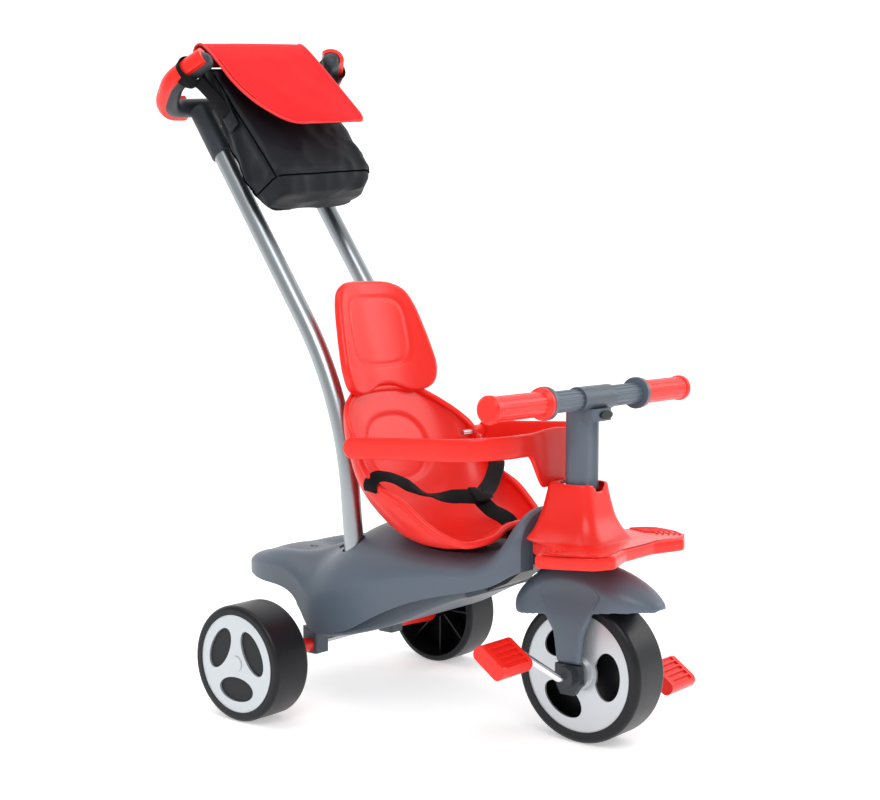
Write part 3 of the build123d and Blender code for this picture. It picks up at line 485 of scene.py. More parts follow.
def make_bag(settings):
    """The sewn bag: a lofted shell that swells and sags, with piped seams and a bound mouth."""
    around = 120
    levels = 52
    points = []
    for row in range(levels):
        share = row / (levels - 1)
        half, depth, corner = between(BAG_LEVELS, share)
        for x, v in even_ring(bag_ring(half, depth, corner, 6), around):
            lean = min(1.0, max(0.0, (BAG_BACK - v) / 44.0))
            rim = BAG_RIM_BACK + (BAG_RIM_FRONT - BAG_RIM_BACK) * lean
            up = rim + (BAG_BOTTOM + 2 - rim) * share
            points.append(on_bow(BAG_SHIFT + x, v, up))
    faces = grid_faces(levels, around, closed=True)
    last = (levels - 1) * around
    base = points[last:]
    middle = sum(base, Vector()) / around
    for shrink in (0.72, 0.42, 0.16):
        start = len(points)
        points.extend(middle + (p - middle) * shrink for p in base)
        for i in range(around):
            j = (i + 1) % around
            faces.append((start - around + i, start - around + j, start + j, start + i))
    start = len(points) - around
    faces.append(tuple(start + i for i in range(around)))
    bag = outward(new_mesh("bag_shell", points, faces, "black_nylon", "push_handle"))
    front_face = min(bag.data.polygons, key=lambda face: (face.center - POST).dot(BOW_BACK))
    if front_face.normal.dot(BOW_BACK) > 0:
        bag.data.flip_normals()
    held = {}
    for row in range(levels):
        for column in range(around):
            index = row * around + column
            if row < 2:
                held[index] = 1.0
            elif (points[index] - POST).dot(BOW_BACK) > (BAG_BACK - 3) / 1000:
                held[index] = 0.9
    cloth_settle(bag, held, 16, settings.bag_pressure, 0.4, settings.bag_swell)
    for vertex in bag.data.vertices:
        wrinkle(vertex, settings.bag_wrinkle)
    bag.data.update()
    columns = ring_corners(around)

    def proud(index):
        vertex = bag.data.vertices[index]
        return vertex.co + vertex.normal * 0.0002

    rows = {}
    hem_row = 2 * round(0.45 * (levels - 1))
    for name, column in columns.items():
        rows[name] = [proud(r * around + column) for r in range(2, hem_row + 1, 2)]
    for name, first, last in (
        ("hem_front", "front_left", "front_right"),
        ("hem_right", "front_right", "back_right"),
        ("hem_left", "back_left", "front_left"),
    ):
        span = range(columns[first], columns[last] + 1, 2)
        rows[name] = [proud(hem_row * around + column % around) for column in span]
    mouth = [bag.data.vertices[column].co.copy() for column in range(around)]
    thicken(bag, BAG_CLOTH, -1, finer=1)
    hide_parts("bag_body")
    for name, path in rows.items():
        seam = tube(f"bag_seam_{name}", path, settings.bag_piping, "dark_thread", "push_handle", 70, 8)
    hem = tube("bag_mouth_binding", mouth + mouth[:1], 0.0017, "webbing", "push_handle", 160, 8)


def ring_corners(around):
    """Columns of the bag's grid that lie on its four upright edges."""
    half, depth, corner = between(BAG_LEVELS, 0.5)
    ring = even_ring(bag_ring(half, depth, corner, 6), around)
    marks = {
        "back_left": (half, BAG_BACK),
        "front_left": (half, BAG_BACK - depth),
        "front_right": (-half, BAG_BACK - depth),
        "back_right": (-half, BAG_BACK),
    }
    return {
        name: min(range(around), key=lambda i: math.hypot(ring[i][0] - x, ring[i][1] - v))
        for name, (x, v) in marks.items()
    }


def wrinkle(vertex, depth):
    """Draws soft creases into the bag, deepest towards its bottom corners."""
    local = vertex.co - POST
    across = local.dot(BOW_RIGHT)
    up = local.dot(TUBE_UP)
    back = local.dot(BOW_BACK)
    low = min(1.0, max(0.0, (-0.07 - up) / 0.13))
    side = min(1.0, abs(across + 0.008) / 0.094)
    where = Vector((across * 22 + up * 9, back * 20, up * 26 - across * 12))
    ridge = 1 - abs(noise.noise(where)) * 2
    fine = noise.noise(where * 2.3 + Vector((3.1, 1.7, 0.4)))
    amount = depth * (0.25 + 0.75 * low * (0.35 + 0.65 * side))
    if up > -0.012:
        amount *= 0.15
    vertex.co += vertex.normal * ((ridge - 0.62) * amount + fine * amount * 0.35)


# ------------------------------------------------------------------ flap
FLAP_HALF = 94.0
FLAP_CLOTH = 0.0016
FLAP_STEPS = 800
FLAP_SHIFT = -5.0
FLAP_LINE = (
    # behind the bow, up the tubes
    (-53, 33.5), (-68, 42), (-85, 48), (-98, 41), (-108, 14), (-119, -30), (-132, -84),
    (-145, -142),
)


def make_flap(settings):
    """The bag's lid: one sheet that folds over the mouth, with rounded corners and a piped edge."""
    rows = 96
    columns = 48
    fine_line = smooth_path([(0, v, n) for v, n in FLAP_LINE], FLAP_STEPS + 1)
    length = sum((q - p).length for p, q in zip(fine_line, fine_line[1:]))
    shares = [1 - (1 - row / (rows - 1)) ** 1.8 for row in range(rows)]
    line = [fine_line[round(share * FLAP_STEPS)] for share in shares]
    points = []
    area = 0.0
    for row, p in enumerate(line):
        share = shares[row]
        ahead = ahead_at(line, row)
        out = Vector((0, -ahead.z, ahead.y)) * (-1 if ahead.z < 0 else 1)
        if out.y > 0 and share > 0.3:
            out = -out
        near = rounded_half(share, settings.flap_near_corner)
        far = rounded_half(share, settings.flap_far_corner)
        area += FLAP_HALF * (near + far) * length * (share - shares[max(row - 1, 0)])
        for column in range(columns):
            u = 2 * column / (columns - 1) - 1
            x = FLAP_HALF * u * (near if u < 0 else far)
            place = x / FLAP_HALF
            wave = 2.2 * share * share * math.sin(2.3 * place + 0.6) - 2.6 * share * place * place
            ripple = 1.1 * share * noise.noise(Vector((x / 34, p.z / 42, 0.3)))
            lift = Vector((0, out.y, out.z)) * (wave + ripple)
            points.append(on_bow(FLAP_SHIFT + x, p.y + lift.y, p.z + lift.z))
    flap = new_mesh("flap_cloth", points, grid_faces(rows, columns), "red_nylon", "bag_flap")
    edge = [points[r * columns] for r in range(1, rows - 1)]
    edge += [points[(rows - 1) * columns + c] for c in range(columns)]
    edge += [points[r * columns + columns - 1] for r in range(rows - 2, 0, -1)]
    centre = points[(rows // 2) * columns + columns // 2]
    thicken(flap, FLAP_CLOTH, 0, finer=1)
    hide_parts("bag_flap")
    piping = tube("flap_piping", edge, settings.flap_piping, "red_binding", "bag_flap", 220, 8)
    inset = [p + (centre - p).normalized() * 0.007 for p in edge]
    stitched = [surface_point(flap, p, 0.0006) for p in inset]
    seam = tube("flap_stitching", stitched, 0.0006, "red_binding", "bag_flap", 260, 6)
    min(area / 1e6, 2 * FLAP_HALF * length / 1e6)


def rounded_half(share, corner):
    """Half width of the flap at a share of its length, as a share of the full half width."""
    reach = corner * 0.62
    if share < 1 - reach:
        return 1.0
    t = (share - 1 + reach) / reach
    return 1 - corner * (1 - math.sqrt(max(0.0, 1 - t * t)))


def surface_point(piece, point, lift):
    """The nearest point of a piece's outer side, a little above it."""
    found, place, normal, _ = piece.closest_point_on_mesh(point)
    if not found:
        raise RuntimeError(f"{piece.name} has no surface near {tuple(point)}")
    return place + normal * lift


# ------------------------------------------------------------------ hangers
HANG_AT = -84.0
HORN_AT_HANGER = 134.0
LOOP_RADIUS = 21.2


def make_hangers(settings):
    """Webbing loops round the horns, which carry the bag by its sides."""
    for side, s in SIDES:
        bag_side = s * BAG_SHIFT + BAG_HALF + 1.6
        route = [(bag_side, -100), (bag_side, -76), (bag_side + 1.5, -52), (bag_side + 9, -32)]
        for step in range(15):
            angle = math.radians(222 - 24 * step)
            route.append((HORN_AT_HANGER + LOOP_RADIUS * math.cos(angle), LOOP_RADIUS * math.sin(angle)))
        route += [(bag_side + 13, -38), (bag_side + 5, -56), (bag_side + 2.6, -78)]
        points = [on_bow(s * x, HANG_AT, n) for x, n in route]
        flats = [ahead_at(points, i).cross(BOW_BACK).normalized() for i in range(len(points))]
        width = settings.hanger_width
        strap = band(f"bag_hanger_{side}", points, flats, width, 0.0018, "webbing", "push_handle", 120)
        patch = [on_bow(s * (bag_side + 1.4), HANG_AT, n) for n in (-60, -80, -104)]
        flats = [BOW_RIGHT * s] * 2
        width += 0.004
        sewn = band(f"bag_patch_{side}", patch, flats, width, 0.0016, "black_nylon", "push_handle", 20)
        if side == "right":
            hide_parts("bag_straps")


# ------------------------------------------------------------------ harness
RIGHT_ROUTE = (
    (-137.5, 57, 322), (-138.5, 55, 334), (-132, 48, 343), (-118, 36, 341), (-98, 25, 330),
    (-78, 11, 317), (-58, -2, 311), (-36, -16, 311), (-12, -27, 309),
)
RIGHT_FLATS = (
    (-1, 0, 0.1), (-0.4, -0.35, 1), (-0.3, -0.6, 0.8), (0.1, -0.1, 1), (-0.5, -0.5, 0.7),
    (-0.5, -0.6, 0.6),
)
LEFT_ROUTE = (
    (137.5, 57, 322), (138.5, 52, 334), (131, 44, 343), (112, 29, 341), (88, 14, 331),
    (52, -4, 317), (14, -20, 309),
)
LEFT_FLATS = ((1, 0, 0.1), (-0.3, -0.5, 1), (-0.6, -0.7, 0.5), (-0.6, -0.7, 0.4), (-0.5, -0.6, 0.6))
CROTCH_ROUTE = (
    (0, -18, 312), (0, -30, 301), (0, -46, 290), (0, -64, 284), (0, -78, 276), (0, -84, 262),
    (0, -84, 253),
)
CROTCH_FLATS = ((-0.5, -0.5, 0.7), (-0.5, -0.4, 0.8), (-0.5, -0.8, 0.4), (-0.4, -0.9, 0.1))
JOINT_ROUTE = ((-16, -24, 311.5), (0, -27, 310.5), (14, -24, 311.5))
JOINT_FLATS = ((-0.5, -0.5, 0.7), (-0.5, -0.5, 0.7))


def make_harness(settings):
    """Two waist straps and a crotch strap that meet in a sewn joint."""
    width = settings.strap_width
    webs = (
        ("harness_waist_right", RIGHT_ROUTE, RIGHT_FLATS, width, 0.0018, 90, "waist_strap_right"),
        ("harness_waist_left", LEFT_ROUTE, LEFT_FLATS, width, 0.0018, 90, "waist_strap_left"),
        ("harness_crotch", CROTCH_ROUTE, CROTCH_FLATS, width, 0.0018, 60, "crotch_strap"),
        ("harness_joint", JOINT_ROUTE, JOINT_FLATS, width + 0.003, 0.005, 20, "buckle"),
    )
    for name, route, flats, wide, thick, count, node in webs:
        web = band(name, [Vector(p) / 1000 for p in route], flats, wide, thick, "webbing", "frame", count)
        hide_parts(node)


# ------------------------------------------------------------------ headrest
HEAD_LEAN = math.radians(14)
HEAD_ORIGIN = Vector((0.0, 0.150, 0.448))
HEAD_OUT = Vector((0.0, -math.cos(HEAD_LEAN), math.sin(HEAD_LEAN)))
HEAD_UP = Vector((0.0, math.sin(HEAD_LEAN), math.cos(HEAD_LEAN)))
HEAD_ARC = 230.0
HEAD_HALF = 7.5
HEAD_EDGE = (
    # across, up
    (0, 162), (30, 161), (52, 157), (72, 145), (84, 122), (92, 90), (98, 58), (101, 26),
    (92, 1), (70, -7), (46, -5), (28, 1), (13, 5.4), (0, 6.6),
)


def on_head(x, y, out):
    """A point of the headrest: across, up, and out from its middle surface, which is bent round the head."""
    turn = math.asin(max(-1.0, min(1.0, x / HEAD_ARC)))
    reach = HEAD_ARC - out
    return (
        HEAD_ORIGIN
        + Vector((1, 0, 0)) * (reach * math.sin(turn) / 1000)
        + HEAD_UP * (y / 1000)
        + HEAD_OUT * ((HEAD_ARC - reach * math.cos(turn)) / 1000)
    )


def make_headrest(settings):
    """The moulded headrest, hollowed to the head, with a sunk panel."""
    half = smooth_path([(x, y, 0) for x, y in HEAD_EDGE], 60)
    edge = half + [Vector((-p.x, p.y, 0)) for p in reversed(half[1:-1])]
    around = len(edge)
    middle = Vector((0, 80, 0))
    rings = 44
    points = []
    for layer in (1, -1):
        for ring in range(rings):
            share = 1 - (1 - (ring + 0.5) / rings) ** 1.35
            for p in edge:
                at = middle + (p - middle) * share
                inward = (p - at).length
                rounding = min(1.0, inward / 6.5)
                height = (HEAD_HALF - 0.3) * math.sqrt(max(0.0, 1 - (1 - rounding) ** 2))
                height = max(height, 0.4)
                if layer == 1:
                    height -= panel_depth(at.x, at.y - 86, settings.head_panel * 1000)
                points.append(on_head(at.x, at.y, layer * height))
    faces = grid_faces(rings, around, closed=True)
    offset = rings * around
    faces += [tuple(offset + i for i in reversed(f)) for f in faces]
    rim = (rings - 1) * around
    for i in range(around):
        j = (i + 1) % around
        faces.append((rim + i, rim + j, offset + rim + j, offset + rim + i))
    faces.append(tuple(range(around)))
    faces.append(tuple(offset + i for i in reversed(range(around))))
    rest = outward(new_mesh("headrest_moulding", points, faces, "red_plastic", "frame"))
    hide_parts("headrest")


def panel_depth(x, y, depth):
    """Depth of the sunk panel's groove and floor at a place on the headrest."""
    reach = (abs(x / 62) ** 4 + abs(y / 50) ** 4) ** 0.25
    groove = math.exp(-(((reach - 1.0) / 0.055) ** 2))
    floor = 0.45 / (1 + math.exp((reach - 0.97) * 60))
    return depth * (groove + floor)


# ------------------------------------------------------------------ seat
SEAT_RIM = (
    (0, -90, 276), (25, -87, 272), (55, -89, 262), (92, -76, 257), (108, -58, 263),
    (122, -30, 281), (129, 5, 308), (132, 45, 328), (133, 70, 350), (131, 88, 385),
    (122, 108, 406), (100, 132, 428), (68, 148, 447),
)
SEAT_SPINE = (
    (0, -86, 275), (0, -76, 270), (0, -60, 259), (0, -35, 249), (0, 0, 246), (0, 35, 250),
    (0, 68, 264), (0, 95, 292), (0, 112, 330), (0, 126, 372), (0, 140, 412), (0, 152, 450),
)
SEAT_WALL = 0.004
SEAT_FULLNESS = 2.5


def seat_surface(bottom, edge, across, settings):
    """A point inside the seat, from a place on its spine and the rim's beside it, and -1 to 1 across."""
    turn = abs(across) * math.pi / 2
    out = math.sin(turn) ** (2 / SEAT_FULLNESS)
    rise = 1 - max(0.0, math.cos(turn)) ** (2 / SEAT_FULLNESS)
    x = edge.x * out * (1 if across > 0 else -1)
    point = Vector((x, bottom.y + (edge.y - bottom.y) * rise, bottom.z + (edge.z - bottom.z) * rise))
    pommel = math.exp(-((x / 26) ** 2) - ((point.y + 62) / 26) ** 2)
    point.z += settings.seat_pommel * 1000 * pommel
    reach = (abs(x / 62) ** 2.4 + abs((point.z - 366) / 46) ** 2.4) ** (1 / 2.4)
    if point.y > 60:
        sunk = 1 / (1 + math.exp(min(40.0, (reach - 1) * 34)))
        ring = math.exp(-(((reach - 1.0) / 0.07) ** 2))
        point.y += settings.seat_recess * 1000 * (sunk + 0.6 * ring)
    return point / 1000


def make_seat(settings):
    """The moulded bucket seat with its rolled rim, ring bosses and neck."""
    rows = 110
    columns = 81
    spine = smooth_path(SEAT_SPINE, rows)
    rim = smooth_path(SEAT_RIM, rows)
    points = []
    for bottom, side in zip(spine, rim):
        for column in range(columns):
            points.append(seat_surface(bottom, side, 2 * column / (columns - 1) - 1, settings))
    shell = new_mesh("seat_bucket", points, grid_faces(rows, columns), "red_plastic", "frame")
    if shell.data.polygons[(rows // 2) * (columns - 1) + columns // 2].normal.z < 0:
        shell.data.flip_normals()
    thicken(shell, SEAT_WALL, -1)
    shell.data.shade_smooth()
    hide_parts("seat_shell")

    edge = [Vector((-p.x, p.y, p.z)) / 1000 for p in reversed(rim[1:])] + [p / 1000 for p in rim]
    roll = tube("seat_rolled_rim", edge, settings.rim_radius, "red_plastic", "frame", 300, 14)
    top = [edge[0], points[(rows - 1) * columns + columns // 2] + Vector((0, 0, 0.0005)), edge[-1]]
    crest = tube("seat_top_edge", top, settings.rim_radius, "red_plastic", "frame", 60, 14)
    pivot = Vector(JOINTS["seat_ring_lift"]["pos_m"])
    for side, s in SIDES:
        ends = [Vector((s * reach, pivot.y, pivot.z)) for reach in (0.124, 0.134, 0.1452)]
        boss = tube(f"seat_boss_{side}", ends, 0.0095, "red_plastic", "frame", 12, 28)
    neck = [on_head(0, y, -11.5) for y in (-26, 4, 34)]
    plate = band("seat_neck", neck, [-HEAD_OUT, -HEAD_OUT], 0.078, 0.0065, "red_plastic", "frame", 24, 0.06)


# ------------------------------------------------------------------ cowl and safety ring
def copy_of(node, name, material):
    """A copy of a CAD node's mesh in one finish."""
    piece = bpy.data.objects.new(name, NODES[node].data.copy())
    bpy.context.scene.collection.objects.link(piece)
    piece.data.materials.clear()
    piece.data.materials.append(MATERIALS[material])
    return piece


def soften(piece, passes):
    """Rounds a piece's edges by a number of smoothing passes."""
    soft = piece.modifiers.new("soft", "SMOOTH")
    soft.factor = 0.5
    soft.iterations = passes
    apply_modifiers(piece)
    piece.data.shade_smooth()


def softened_copy(name, node, material, body, grain, passes):
    """A copy of a CAD node with its edges rounded as a blow moulding's are. It replaces the node."""
    piece = copy_of(node, name, material)
    skin = piece.modifiers.new("skin", "REMESH")
    skin.mode = "VOXEL"
    skin.voxel_size = grain
    soften(piece, passes)
    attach(piece, body)
    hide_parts(node)
    return piece


LOBE_START = 0.080
LOBE_END = 0.1386
COWL_WING_TOP = 0.268
COWL_FOOT = 0.040
WING_SLICE = 0.003


def make_cowl(settings):
    """The cowl: its tower runs out in a hollow curve into two rounded, ribbed footrests."""
    passes = settings.cowl_softness
    cowl = softened_copy("cowl_moulding", "cowl_footrest", "red_plastic", "frame", 0.0016, passes)
    slices = {}
    for vertex in cowl.data.vertices:
        if vertex.co.z < COWL_WING_TOP + 0.004:
            row = slices.setdefault(round(abs(vertex.co.x) / WING_SLICE), [1.0, -1.0])
            row[0] = min(row[0], vertex.co.y)
            row[1] = max(row[1], vertex.co.y)

    def middle_at(x):
        place = abs(x) / WING_SLICE
        low = slices.get(int(place), slices[max(slices)])
        high = slices.get(int(place) + 1, low)
        share = place - int(place)
        return ((low[0] + low[1]) * (1 - share) + (high[0] + high[1]) * share) / 2

    for vertex in cowl.data.vertices:
        place = vertex.co
        if place.z < COWL_WING_TOP + 0.004:
            reach = min(1.0, max(0.0, (abs(place.x) - LOBE_START) / (LOBE_END - LOBE_START)))
            keep = (1 - reach**2.6) ** (1 / 2.6)
            middle = middle_at(place.x)
            place.y = middle + (place.y - middle) * max(keep, 0.08)
        height = (place.z - COWL_WING_TOP) / COWL_FOOT
        if 0 <= height < 1 and place.y < -0.150:
            away = Vector((place.x / 0.044, (place.y + 0.189) / 0.048, 0)).normalized()
            place += away * (settings.cowl_foot * (1 - height) ** 2.4)
    cowl.data.update()
    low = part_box("cowl_footrest")[0]
    for side, s in SIDES:
        for step in range(5):
            bend = 0.011 + 0.0072 * step
            ends = []
            for turn in (-64, -40, -14, 14, 40, 64):
                angle = math.radians(turn)
                x = s * (0.084 + bend * math.cos(angle))
                y = middle_at(x) + bend * 1.1 * math.sin(angle)
                ends.append(surface_point(cowl, Vector((x, y, low.z + 0.03)), 0.0002))
            rib = tube(f"footrest_rib_{side}_{step}", ends, 0.0017, "red_plastic", "frame", 40, 10)


LEG_MIDDLE = -0.207
LEG_FLARE_FROM = 0.140
LEG_FLARE_TO = 0.200
LEG_SIDE = 0.044


def make_fork(settings):
    """The front guard, which runs down into the fork's legs with wide fillets."""
    fork = softened_copy("fork_moulding", "fork", "grey_plastic", "steering", 0.0018, settings.fork_softness)
    for vertex in fork.data.vertices:
        place = vertex.co
        rise = (place.z - LEG_FLARE_FROM) / (LEG_FLARE_TO - LEG_FLARE_FROM)
        near = eased((0.036 - abs(place.y - LEG_MIDDLE)) / 0.010) * eased((1.35 - rise) / 0.35)
        if abs(place.x) > 0.038 and rise > 0:
            place.y += (place.y - LEG_MIDDLE) * settings.leg_flare * min(1.0, rise) ** 2.5 * near
        if abs(place.x) > LEG_SIDE and rise > 0:
            merge = eased((rise - 0.35) / 0.75)
            place.x = math.copysign(abs(place.x) - (abs(place.x) - LEG_SIDE) * 0.85 * merge, place.x)
    soften(fork, settings.fork_softness)


TRAY_FROM = 0.200
TRAY_DEEPEST = 0.262
TRAY_TO = 0.348
TRAY_HALF = 0.100


def make_body(settings):
    """The body shell, hollowed behind the push tubes, so that its tail stands up as a rounded hump."""
    shell = copy_of("body_shell", "body_moulding", "grey_plastic")
    work = bmesh.new()
    work.from_mesh(shell.data)
    bmesh.ops.remove_doubles(work, verts=work.verts, dist=1e-6)
    for _ in range(5):
        long_edges = [
            e for e in work.edges
            if e.calc_length() > 0.006 and max(v.co.y for v in e.verts) > TRAY_FROM - 0.01
        ]
        if not long_edges:
            break
        bmesh.ops.subdivide_edges(work, edges=long_edges, cuts=1)
        bmesh.ops.triangulate(work, faces=[f for f in work.faces if len(f.verts) > 3])
    for vertex in work.verts:
        place = vertex.co
        if place.y > TRAY_FROM:
            if place.y < TRAY_DEEPEST:
                along = eased((place.y - TRAY_FROM) / (TRAY_DEEPEST - TRAY_FROM))
            else:
                along = 0.3 + 0.7 * eased((TRAY_TO - place.y) / (TRAY_TO - TRAY_DEEPEST))
            across = eased((TRAY_HALF - abs(place.x)) / (TRAY_HALF - 0.030))
            upper = eased((place.z - 0.170) / 0.030)
            place.z -= settings.tray_depth * along * across * upper
    for edge in work.edges:
        edge.smooth = len(edge.link_faces) != 2 or edge.calc_face_angle(0.0) < math.radians(38)
    work.to_mesh(shell.data)
    work.free()
    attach(shell, "frame")
    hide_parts("body_shell")


RING_HALF = 150.0
RING_END = 8.0
RING_FRONT = -234.0
RING_CORNER = 70.0
RING_RISE = math.radians(3.0)
RING_RAIL = 15.0
SHIELD_HALF = 60.0
SHIELD_ABOVE = 4.0
SHIELD_BELOW = 44.0
LEG_HALF = 28.0


def eased(share):
    """0 to 1, slow at both ends."""
    share = min(1.0, max(0.0, share))
    return share * share * (3 - 2 * share)


def ring_route():
    """Places (across, along) round the ring, from its right end to its left end."""
    side = [(-RING_HALF, RING_END + (RING_FRONT + RING_CORNER - RING_END) * k / 60) for k in range(61)]
    corner = []
    for k in range(1, 24):
        angle = math.radians(90 * k / 24)
        across = -RING_HALF + RING_CORNER * (1 - math.cos(angle))
        corner.append((across, RING_FRONT + RING_CORNER * (1 - math.sin(angle))))
    straight = RING_HALF - RING_CORNER
    front = [(-straight + 2 * straight * k / 80, RING_FRONT) for k in range(81)]
    half = side + corner
    return half + front + [(-x, y) for x, y in reversed(half)]


def make_ring(settings):
    """The safety ring: a rounded rail that deepens into a shield in front of the child."""
    pivot = Vector(JOINTS["seat_ring_lift"]["pos_m"])
    forward = Vector((0, math.cos(RING_RISE), -math.sin(RING_RISE)))
    upward = Vector((0, math.sin(RING_RISE), math.cos(RING_RISE)))
    route = [Vector(place) for place in ring_route()]
    around = 28
    points = []
    for index, (x, y) in enumerate(route):
        ahead = ahead_at(route, index)
        shield = eased((SHIELD_HALF - abs(x)) / (SHIELD_HALF - LEG_HALF)) if y < RING_FRONT + 1 else 0.0
        end = min(1.0, (RING_END - y + 0.4) / RING_RAIL)
        blunt = math.sqrt(max(0.0, 1 - (1 - end) ** 2))
        top = RING_RAIL * blunt + SHIELD_ABOVE * eased((SHIELD_HALF - abs(x)) / SHIELD_HALF) * (shield > 0)
        bottom = -RING_RAIL * blunt - SHIELD_BELOW * shield
        thick = (settings.ring_thickness * 1000 / 2 - 1.6 * shield) * (0.7 + 0.3 * blunt)
        for k in range(around):
            angle = 2 * math.pi * k / around
            out = math.copysign(abs(math.cos(angle)) ** 0.55, math.cos(angle)) * thick
            rise = math.copysign(abs(math.sin(angle)) ** 0.55, math.sin(angle))
            up = (top + bottom) / 2 + rise * (top - bottom) / 2
            across = Vector((x - ahead.y * out, 0, 0))
            points.append(pivot + (across + forward * (y + ahead.x * out) + upward * up) / 1000)
    faces = capped_faces(len(route), around)
    ring = outward(new_mesh("ring_moulding", points, faces, "red_plastic", "seat_ring"))
    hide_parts("seat_ring")


# ------------------------------------------------------------------ stage
CAMERA_TURN = math.radians(-51.2157)
CAMERA_RISE = math.radians(4.8967)
CAMERA_PLACE = (-1.7168, -1.3336, 0.6271)
CAMERA_LENS = 63.95
SWEEP_START = 2.2
SWEEP_BEND = 2.5


def make_stage(settings):
    """Pale floor with a swept-up backdrop, soft lights, and the camera."""
    profile = [(-40.0, 0.0), (SWEEP_START, 0.0)]
    for degrees in range(6, 91, 6):
        angle = math.radians(degrees)
        profile.append((SWEEP_START + SWEEP_BEND * math.sin(angle), SWEEP_BEND * (1 - math.cos(angle))))
    profile.append((SWEEP_START + SWEEP_BEND, 7.0))
    away = Vector((-math.sin(CAMERA_TURN), math.cos(CAMERA_TURN), 0))
    right = Vector((math.cos(CAMERA_TURN), math.sin(CAMERA_TURN), 0))
    points = []
    for reach, height in profile:
        for side in (-40, -3, 3, 40):
            points.append(away * reach + right * side + Vector((0, 0, height - 0.0004)))
    paint = Paint("floor_paper")
    clouds = paint.grain(1.3, 3.0)
    MATERIALS["floor_paper"] = paint.finish(
        Base_Color=paint.mix(clouds, (0.93, 0.93, 0.93), (0.96, 0.96, 0.96)),
        Roughness=0.85 + clouds * 0.05,
        Emission_Color=(1.0, 1.0, 1.0, 1.0),
        Emission_Strength=settings.floor_glow,
    )
    floor = new_mesh("studio_floor", points, grid_faces(len(profile), 4), "floor_paper", None)

    world = bpy.data.worlds.new("studio")
    bpy.context.scene.world = world
    world.use_nodes = True
    sky = world.node_tree.nodes["Background"].inputs
    sky["Color"].default_value = (1, 1, 1, 1)
    sky["Strength"].default_value = settings.fill_light

    for name, place, size, power in (
        ("key", (-1.6, -1.5, 2.4), 1.8, settings.key_light),
        ("side", (1.9, -1.6, 1.7), 1.6, settings.key_light * 0.55),
        ("top", (-0.3, 0.6, 2.8), 2.4, settings.key_light * 0.7),
    ):
        lamp = bpy.data.lights.new(f"{name}_light", "AREA")
        lamp.energy = power
        lamp.shape = "DISK"
        lamp.size = size
        holder = bpy.data.objects.new(f"{name}_light", lamp)
        bpy.context.scene.collection.objects.link(holder)
        holder.location = place
        holder.rotation_euler = (Vector((0, 0, 0.4)) - Vector(place)).to_track_quat("-Z", "Y").to_euler()

    back = -away * math.cos(CAMERA_RISE) + Vector((0, 0, math.sin(CAMERA_RISE)))
    upward = back.cross(right)
    bpy.context.scene.view_settings.view_transform = "Standard"
    lens = bpy.data.cameras.new("view")
    lens.lens = CAMERA_LENS
    lens.sensor_width = 36
    camera = bpy.data.objects.new("view", lens)
    bpy.context.scene.collection.objects.link(camera)
    turn = Matrix((right, upward, back)).transposed().to_4x4()
    camera.matrix_world = Matrix.Translation(CAMERA_PLACE) @ turn
    bpy.context.scene.camera = camera


# ------------------------------------------------------------------ add-on
def length_setting(name, description, default):
    """A size in metres that a user may change."""
    return bpy.props.FloatProperty(
        name=name, description=description, default=default, unit="LENGTH", precision=4
    )


def colour_setting(name, description, default):
    """A colour that a user may change."""
    return bpy.props.FloatVectorProperty(
        name=name, description=description, default=default, size=3, subtype="COLOR", min=0.0, max=1.0
    )


def plain_setting(name, description, default):
    """A share, or another plain number, that a user may change."""
    return bpy.props.FloatProperty(name=name, description=description, default=default)


def passes_setting(name, description, default):
    """A count of smoothing passes that a user may change."""
    return bpy.props.IntProperty(name=name, description=description, default=default, min=0)


class TricycleFinishes(bpy.types.PropertyGroup):
    """Colours of the plastics, the cloth and the tubes."""

    red: colour_setting("Red plastic", "Seat, ring, cowl, grips and pedals", (0.86, 0.022, 0.014))
    grey: colour_setting("Grey plastic", "Body shell, fork and stem", (0.095, 0.125, 0.162))
    tyre: colour_setting("Tyres", "Treads and cores of the wheels", (0.0110, 0.0118, 0.0145))
    silver: colour_setting("Silver plastic", "Discs of the wheels", (0.60, 0.64, 0.67))
    tubes: colour_setting("Push tubes", "Bright tubes of the push handle", (0.42, 0.455, 0.475))
    bag: colour_setting("Bag", "Nylon of the bag", (0.0085, 0.0105, 0.0150))
    flap: colour_setting("Flap", "Nylon of the bag's flap", (0.90, 0.010, 0.014))


class TricycleSoftGoods(bpy.types.PropertyGroup):
    """Sizes of the bag and the straps."""

    bag_pressure: plain_setting("Bag pressure", "Air that swells the bag", 3.0)
    bag_swell: length_setting("Bag swell", "Most that the bag's cloth moves", 0.005)
    bag_wrinkle: length_setting("Bag creases", "Depth of the bag's creases", 0.0036)
    bag_piping: length_setting("Bag piping", "Radius of the seams' piping", 0.0011)
    flap_near_corner: plain_setting("Right corner", "Share of the half width that it rounds", 0.78)
    flap_far_corner: plain_setting("Left corner", "Share of the half width that it rounds", 0.16)
    flap_piping: length_setting("Flap piping", "Radius of the flap's edge", 0.0019)
    hanger_width: length_setting("Hanger width", "Width of the bag's hangers", 0.022)
    strap_width: length_setting("Strap width", "Width of the harness", 0.024)


